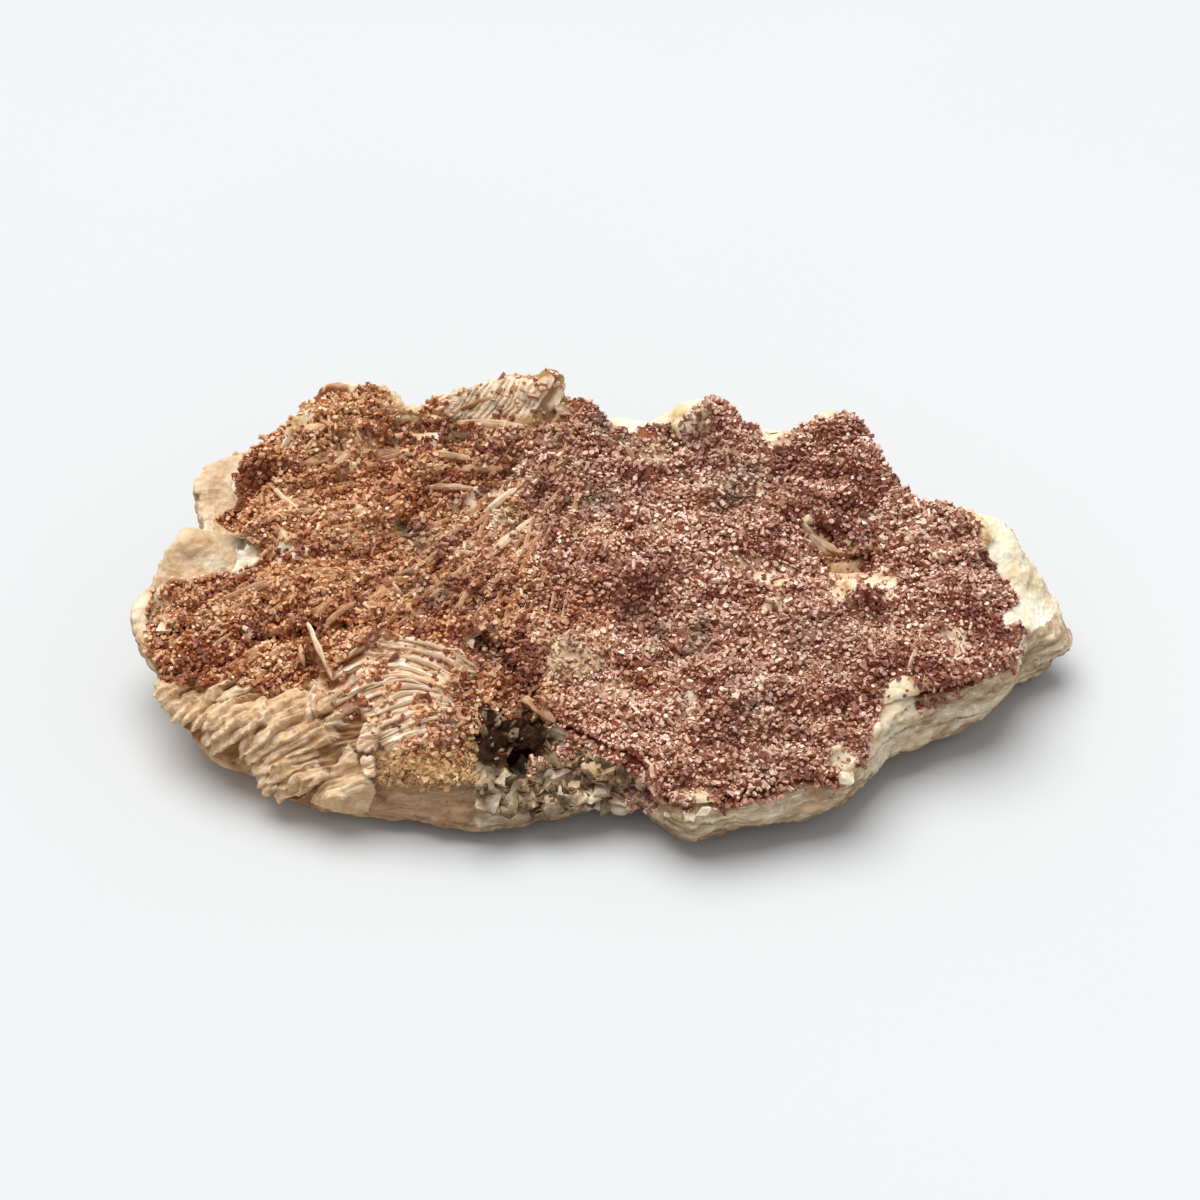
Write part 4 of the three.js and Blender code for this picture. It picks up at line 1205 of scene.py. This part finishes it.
glassy = stone("glassy_baryte_block", 3.0,
               [(0.34, "#46311C"), (0.7, "#E4D2AE"), (0.52, "#957A58")], (0.3, 0.65))
fresh = stone("fresh_baryte_chip", 1.2,
              [(0.3, "#D8A877"), (0.64, "#FDF5E4"), (0.48, "#F0DBB8")], (0.45, 0.8))
dirty = stone("dirty_baryte_rubble", 1.6,
              [(0.34, "#2E1A0A"), (0.7, "#C2A274"), (0.52, "#70502E")], (0.5, 0.9))
ochre = stone("iron_stained_baryte", 1.2,
              [(0.34, "#7A4C22"), (0.68, "#EAD2A6"), (0.5, "#BA8A52")], (0.5, 0.9))
place("baryte_hollow_blocks", hollow_mesh, glassy, "baryte", False)
place("baryte_chips", chip_mesh, fresh, "baryte", False)
place("baryte_rubble", rubble_mesh, dirty, "baryte", False)
place("baryte_ochre_crumbs", crumb_mesh, ochre, "baryte", False)

# %% [markdown]
# ## The druse
# Vanadinite grows as short six-sided prisms with flat tops, here about a millimetre across, with smaller
# ones crowded between. Places are drawn at random over the rock, more of them where there is more surface,
# and then only one is kept in each small cell, which spaces them as crystals crowd each other in nature.
# One array operation then turns every place into a prism, leaning its own way.

# %% Where crystals grow
FEATHER_CLUSTERS = (  # the photo's pixel, and the radius in mm, of crystals outside the crust's outline
    ((460, 690), 3.4), ((466, 706), 3.0), ((458, 722), 3.4), ((444, 734), 3.0), ((430, 706), 2.0),
    ((410, 745), 2.0), ((452, 750), 2.4), ((372, 672), 1.8), ((534, 770), 1.9), ((540, 762), 1.2),
    ((505, 700), 2.6), ((506, 712), 2.0), ((476, 690), 2.6), ((388, 690), 1.4), ((570, 752), 2.6),
    ((640, 800), 3.0),
)


def grows_on_bed(middles, facing):
    pale_crest = blade_ridges(middles) * sheaf(middles)
    bare = np.maximum(0.85 * fade(pale_crest, 0.7, 0.9), 0.96 * within(middles, MOUND_OUTLINE))
    bare = np.maximum(bare, 0.75 * thinned(middles))
    return fade(facing[:, 2], -0.3, 0.1) * crusted(middles) * (1 - bare)


def grows_on_slab(middles, facing):
    bare = 0.96 * within(middles, MOUND_OUTLINE)
    return can_stand(middles, facing) * crusted(middles) * (1 - bare) * fade(middles[:, 2], 3, 5) + NEVER


def grows_on_blades(middles, facing):
    return 0.05 + 0.95 * fade(fractal(middles, 4, 2, 230), 0.1, 0.6)


def grows_in_clusters(middles, facing):
    """In the gaps of the feather, more of them at its right, and in the traced clusters."""
    gaps = fade(fold_height(pixel_of(middles), FEATHER, FEATHER_FALL), 0.5, 0.2)
    right = fade(pixel_of(middles)[:, 0], 400, 450)
    chance = (0.02 + 0.04 * gaps + 0.25 * gaps * right) * within(middles, FEATHER_OUTLINE)
    chance = chance * (facing @ LOOK_AHEAD < 0) + 1e-9
    for pixel, radius in FEATHER_CLUSTERS:
        gap = np.linalg.norm(middles - seen_at(rock, [pixel])[0], axis=1)
        chance = np.maximum(chance, fade(-gap, -radius, -0.5 * radius))
    return chance


def in_the_open(places, facing):
    """Keeps the places that the bed doesn't cover."""
    up = Vector((0, 0, 1))
    open_ones = [bed_cover.ray_cast(Vector(spot) + 0.02 * up, up, 6)[0] is None for spot in places]
    return places[open_ones], facing[open_ones]


print("clusters on the feather:", len(FEATHER_CLUSTERS))

# %% Draw the crystals' places
GROWTH = {  # draws, spacing in mm and seed
    "bed": (60000, 0.7, 5),
    "slab": (70000, 0.64, 6),
    "comb": (2200, 0.8, 7),
    "slab clusters": (2200, 0.7, 8),
    "blade clusters": (700, 0.7, 9),
    "large": (1500, 2.6, 10),
    "tiny": (11000, 0.5, 12),
}
small_sets = (
    scatter(bed_mesh, grows_on_bed, *GROWTH["bed"]),
    in_the_open(*scatter(matrix_mesh, grows_on_slab, *GROWTH["slab"])),
    scatter(comb_mesh, grows_on_blades, *GROWTH["comb"]),
    in_the_open(*scatter(matrix_mesh, grows_in_clusters, *GROWTH["slab clusters"])),
    scatter(bright_mesh, grows_in_clusters, *GROWTH["blade clusters"]),
)
small_ones = [np.concatenate(column) for column in zip(*small_sets)]
large_ones = scatter(bed_mesh, grows_on_bed, *GROWTH["large"])
tiny_ones = scatter(bed_mesh, grows_on_bed, *GROWTH["tiny"])
print("crystals:", len(small_ones[0]), "small,", len(large_ones[0]), "large and", len(tiny_ones[0]), "tiny")

# %% Dust and tones of the crust
DUST_ZONES = (  # the photo's pixel and the radius in mm
    ((596, 505), 6), ((738, 488), 6), ((648, 630), 6), ((763, 695), 5), ((548, 448), 7), ((430, 545), 5),
    ((470, 612), 4), ((615, 430), 5), ((560, 660), 5), ((700, 640), 5), ((820, 640), 6), ((440, 590), 5),
)
# Most of these are the crystals' own tone; the darkening at (232, 500), beside the left knob, and at (640,
# 614), under a ledge, is painted shade.
TONE_AND_SHADE_ZONES = (  # likewise, and how much lighter or darker the crystals are
    ((850, 455), 11, -0.15), ((760, 790), 14, -0.2), ((840, 730), 10, -0.1), ((232, 500), 6, -0.7),
    ((276, 640), 9, -0.05), ((990, 640), 6, -0.6), ((640, 614), 5, -1.1), ((720, 400), 5, -0.3),
    ((600, 650), 9, 0.3), ((760, 640), 12, 0.2), ((460, 590), 8, 0.1), ((330, 590), 10, -0.1),
    ((350, 410), 9, 0.35),
)


def dust_on(points):
    dust = 0.3 * fade(fractal(points, 12, 3, 90), 0.1, 0.8)
    for pixel, radius in DUST_ZONES:
        dust = np.maximum(dust, nearness(points, rock, pixel, radius))
    return dust * fade(fractal(points, 5, 3, 92), -0.8, 0.5)


def tone_and_shade_shift(points):
    shift = np.zeros(len(points))
    for pixel, radius, amount in TONE_AND_SHADE_ZONES:
        shift = shift + amount * nearness(points, rock, pixel, radius)
    return shift


print("dust zones:", len(DUST_ZONES), "tone zones:", len(TONE_AND_SHADE_ZONES))

# %% Grow prisms
PLAIN = ((0.9, -0.5), (1.0, 1.0))  # rings of a prism: share of the radius, and of the height
BEVELLED = ((0.9, -0.5), (1.0, 0.8), (0.84, 1.0))
# tone 1 gives these crystals the pale dust film and painted highlight at full strength
PALE_SHARE = 0.04  # of the crystals, wholly under pale film


def prisms(places, facing, random, radius, slim, lean, rings, sides):
    """Points and faces of a prism at each place. radius and slim, height by radius, go from low to high."""
    count = len(places)
    axis = unit(facing + lean * random.normal(size=(count, 3)))
    side = unit(np.cross(axis, random.normal(size=(count, 3))))
    other = np.cross(axis, side) * random.uniform(0.55, 1.0, (count, 1))
    radii = radius[0] + (radius[1] - radius[0]) * random.random((count, 1, 1)) ** 1.6
    heights = radii * random.uniform(*slim, (count, 1, 1))
    angle = np.arange(sides) * 2 * math.pi / sides
    circle = np.cos(angle)[:, None] * side[:, None] + np.sin(angle)[:, None] * other[:, None]
    points = np.concatenate([places[:, None] + share * radii * circle + level * heights * axis[:, None]
                             for share, level in rings], axis=1)
    turn = np.arange(sides)
    nxt = (turn + 1) % sides
    wall = np.stack([turn, nxt, nxt + sides, turn + sides], axis=1)
    walls = np.concatenate([wall + sides * k for k in range(len(rings) - 1)])
    ends = np.stack([turn[::-1], turn + sides * (len(rings) - 1)])
    step = (np.arange(count) * points.shape[1])[:, None, None]
    return points, (walls + step).reshape(-1, 4), (ends + step).reshape(-1, sides)


def druse_mesh(name, places, facing, habit, seed):
    random = np.random.default_rng(seed)
    points, walls, ends = prisms(places, facing, random, **habit)
    mesh = mesh_of(name, points.reshape(-1, 3), [walls, ends])
    count, corners = points.shape[:2]
    left = sheaf(places)
    rows = left * fractal(fan(places), (10, 1.7, 10), 3, 97)
    rows = rows + (1 - left) * fractal(places, (6, 2.0, 4), 3, 98)
    patches = fade(rows + tone_and_shade_shift(places), -0.75, 0.75)
    warm = 0.1 + 0.9 * fade(-places[:, 0] + 14 * fractal(places, 8, 2, 95), -12, 30)
    tone = 0.45 * random.random(count) + 0.55 * patches
    tone = np.where(random.random(count) < PALE_SHARE, 1, tone)
    paint(mesh, "tone", np.repeat(tone, corners))
    paint(mesh, "dust", np.repeat(dust_on(places), corners))
    paint(mesh, "warm", np.repeat(warm, corners))
    return mesh


print("a six-sided prism has", 6 * len(PLAIN), "points")

# %% [markdown]
# ## Vanadinite
# Vanadinite is a lead mineral with a resinous shine and a high IOR of about 2.35. These crystals are
# red-brown on their sides and more orange towards the left. Whatever faces up turns pale pinkish to tan,
# partly from a film of dust and partly as a painted highlight, the bright sky seen in the top facets. The
# film takes most of the shine away, so the IOR is set much lower. Each prism has its own tone, so the crust
# sparkles and doesn't look painted, and patches of grey dust were traced in the photo.

# %% Vanadinite material
vanadinite, tree = new_material("vanadinite_crystal")
seen = {name: add(tree, "Attribute", attribute_name=name).outputs["Fac"]
        for name in ("tone", "dust", "warm")}
geometry = add(tree, "NewGeometry")
spot = geometry.outputs["Position"]
speck = add(tree, "TexNoise", {"Vector": spot, "Scale": 1 / (0.7 * MM), "Detail": 3.0})
upward = add(tree, "SeparateXYZ", {"Vector": geometry.outputs["True Normal"]}).outputs["Z"]
ramps = {  # the colour at tone 0, 1 and the middle
    "red": [(0.1, "#66281A"), (0.9, "#BA7048"), (0.5, "#944228")],
    "orange": [(0.1, "#702F14"), (0.9, "#CF8E56"), (0.5, "#A35222")],
    # the pale colour of faces that point up: partly dust, partly painted highlight
    "pink film": [(0.1, "#BC8868"), (0.9, "#FAE8D6"), (0.5, "#EAC6AA")],
    "tan film": [(0.1, "#A86838"), (0.9, "#F2D6AE"), (0.5, "#D69C68")],
}
shade = {name: add(tree, "ValToRGB", {"Fac": seen["tone"]}, stops=stops).outputs["Color"]
         for name, stops in ramps.items()}
body = add(tree, "Mix", {"Factor": seen["warm"], COLOUR_A: shade["red"], COLOUR_B: shade["orange"]},
           data_type="RGBA")
film_and_highlight = add(tree, "Mix", {"Factor": seen["warm"], COLOUR_A: shade["pink film"], COLOUR_B: shade["tan film"]},
           data_type="RGBA")
pale_by_tone = add(tree, "MapRange", {
    "Value": seen["tone"], "From Min": 0.2, "From Max": 0.5, "To Min": 0.2, "To Max": 1.0})
patchy = add(tree, "MapRange", {
    "Value": speck.outputs["Fac"], "From Min": 0.38, "From Max": 0.56, "To Min": 0.4})
# painted highlight, with dust: the more a face points up towards the lamp, the more of the pale colour it
# takes
facing_up = add(tree, "MapRange", {
    "Value": upward, "From Min": 0.3, "From Max": 0.85, "To Min": 0.12, "To Max": 0.95})
highlight_and_dust_share = facing_up.outputs["Result"]
for share in (pale_by_tone, patchy):
    highlight_and_dust_share = add(tree, "Math", {0: highlight_and_dust_share, 1: share.outputs["Result"]},
                  operation="MULTIPLY").outputs["Value"]
topped = add(tree, "Mix", {"Factor": highlight_and_dust_share, COLOUR_A: body.outputs[COLOUR_OUT],
                           COLOUR_B: film_and_highlight.outputs[COLOUR_OUT]}, data_type="RGBA")
powder = add(tree, "ValToRGB", {"Fac": speck.outputs["Fac"]}, stops=[(0.3, "#7A6652"), (0.7, "#B6A188")])
dusted = add(tree, "MapRange", {"Value": seen["dust"], "To Min": 0.0, "To Max": 0.6})
mixed = add(tree, "Mix", {"Factor": dusted.outputs["Result"], COLOUR_A: topped.outputs[COLOUR_OUT],
                          COLOUR_B: powder.outputs["Color"]}, data_type="RGBA")
finish(tree, mixed.outputs[COLOUR_OUT], speck.outputs["Fac"], (0.32, 0.68), speck.outputs["Fac"],
       (0.3, 0.12), {"IOR": 1.6})
print(vanadinite.name, "has", len(tree.nodes), "nodes")

# %% Plant the druse
SMALL = {"radius": (0.2, 0.5), "slim": (1.0, 2.8), "lean": 0.8, "rings": PLAIN, "sides": 6}
LARGE = {"radius": (0.42, 0.7), "slim": (1.0, 2.0), "lean": 0.6, "rings": BEVELLED, "sides": 6}
# The tiny ones are too small for six sides to show.
TINY = {"radius": (0.16, 0.32), "slim": (1.5, 4.0), "lean": 1.0, "rings": PLAIN, "sides": 4}
DRUSE_PARTS = 4  # the small crystals are cut in parts from left to right, to keep each mesh light
order = np.argsort(small_ones[0][:, 0])
parts = [(f"druse_{part}", small_ones[0][chosen], small_ones[1][chosen], SMALL, 100 + part)
         for part, chosen in enumerate(np.array_split(order, DRUSE_PARTS))]
parts += [("large_crystals", *large_ones, LARGE, 120), ("tiny_crystals", *tiny_ones, TINY, 130)]
for name, places, facing, habit, seed in parts:
    mesh = druse_mesh(name, places, facing, habit, seed)
    place("vanadinite_" + name, mesh, vanadinite, "vanadinite", False)
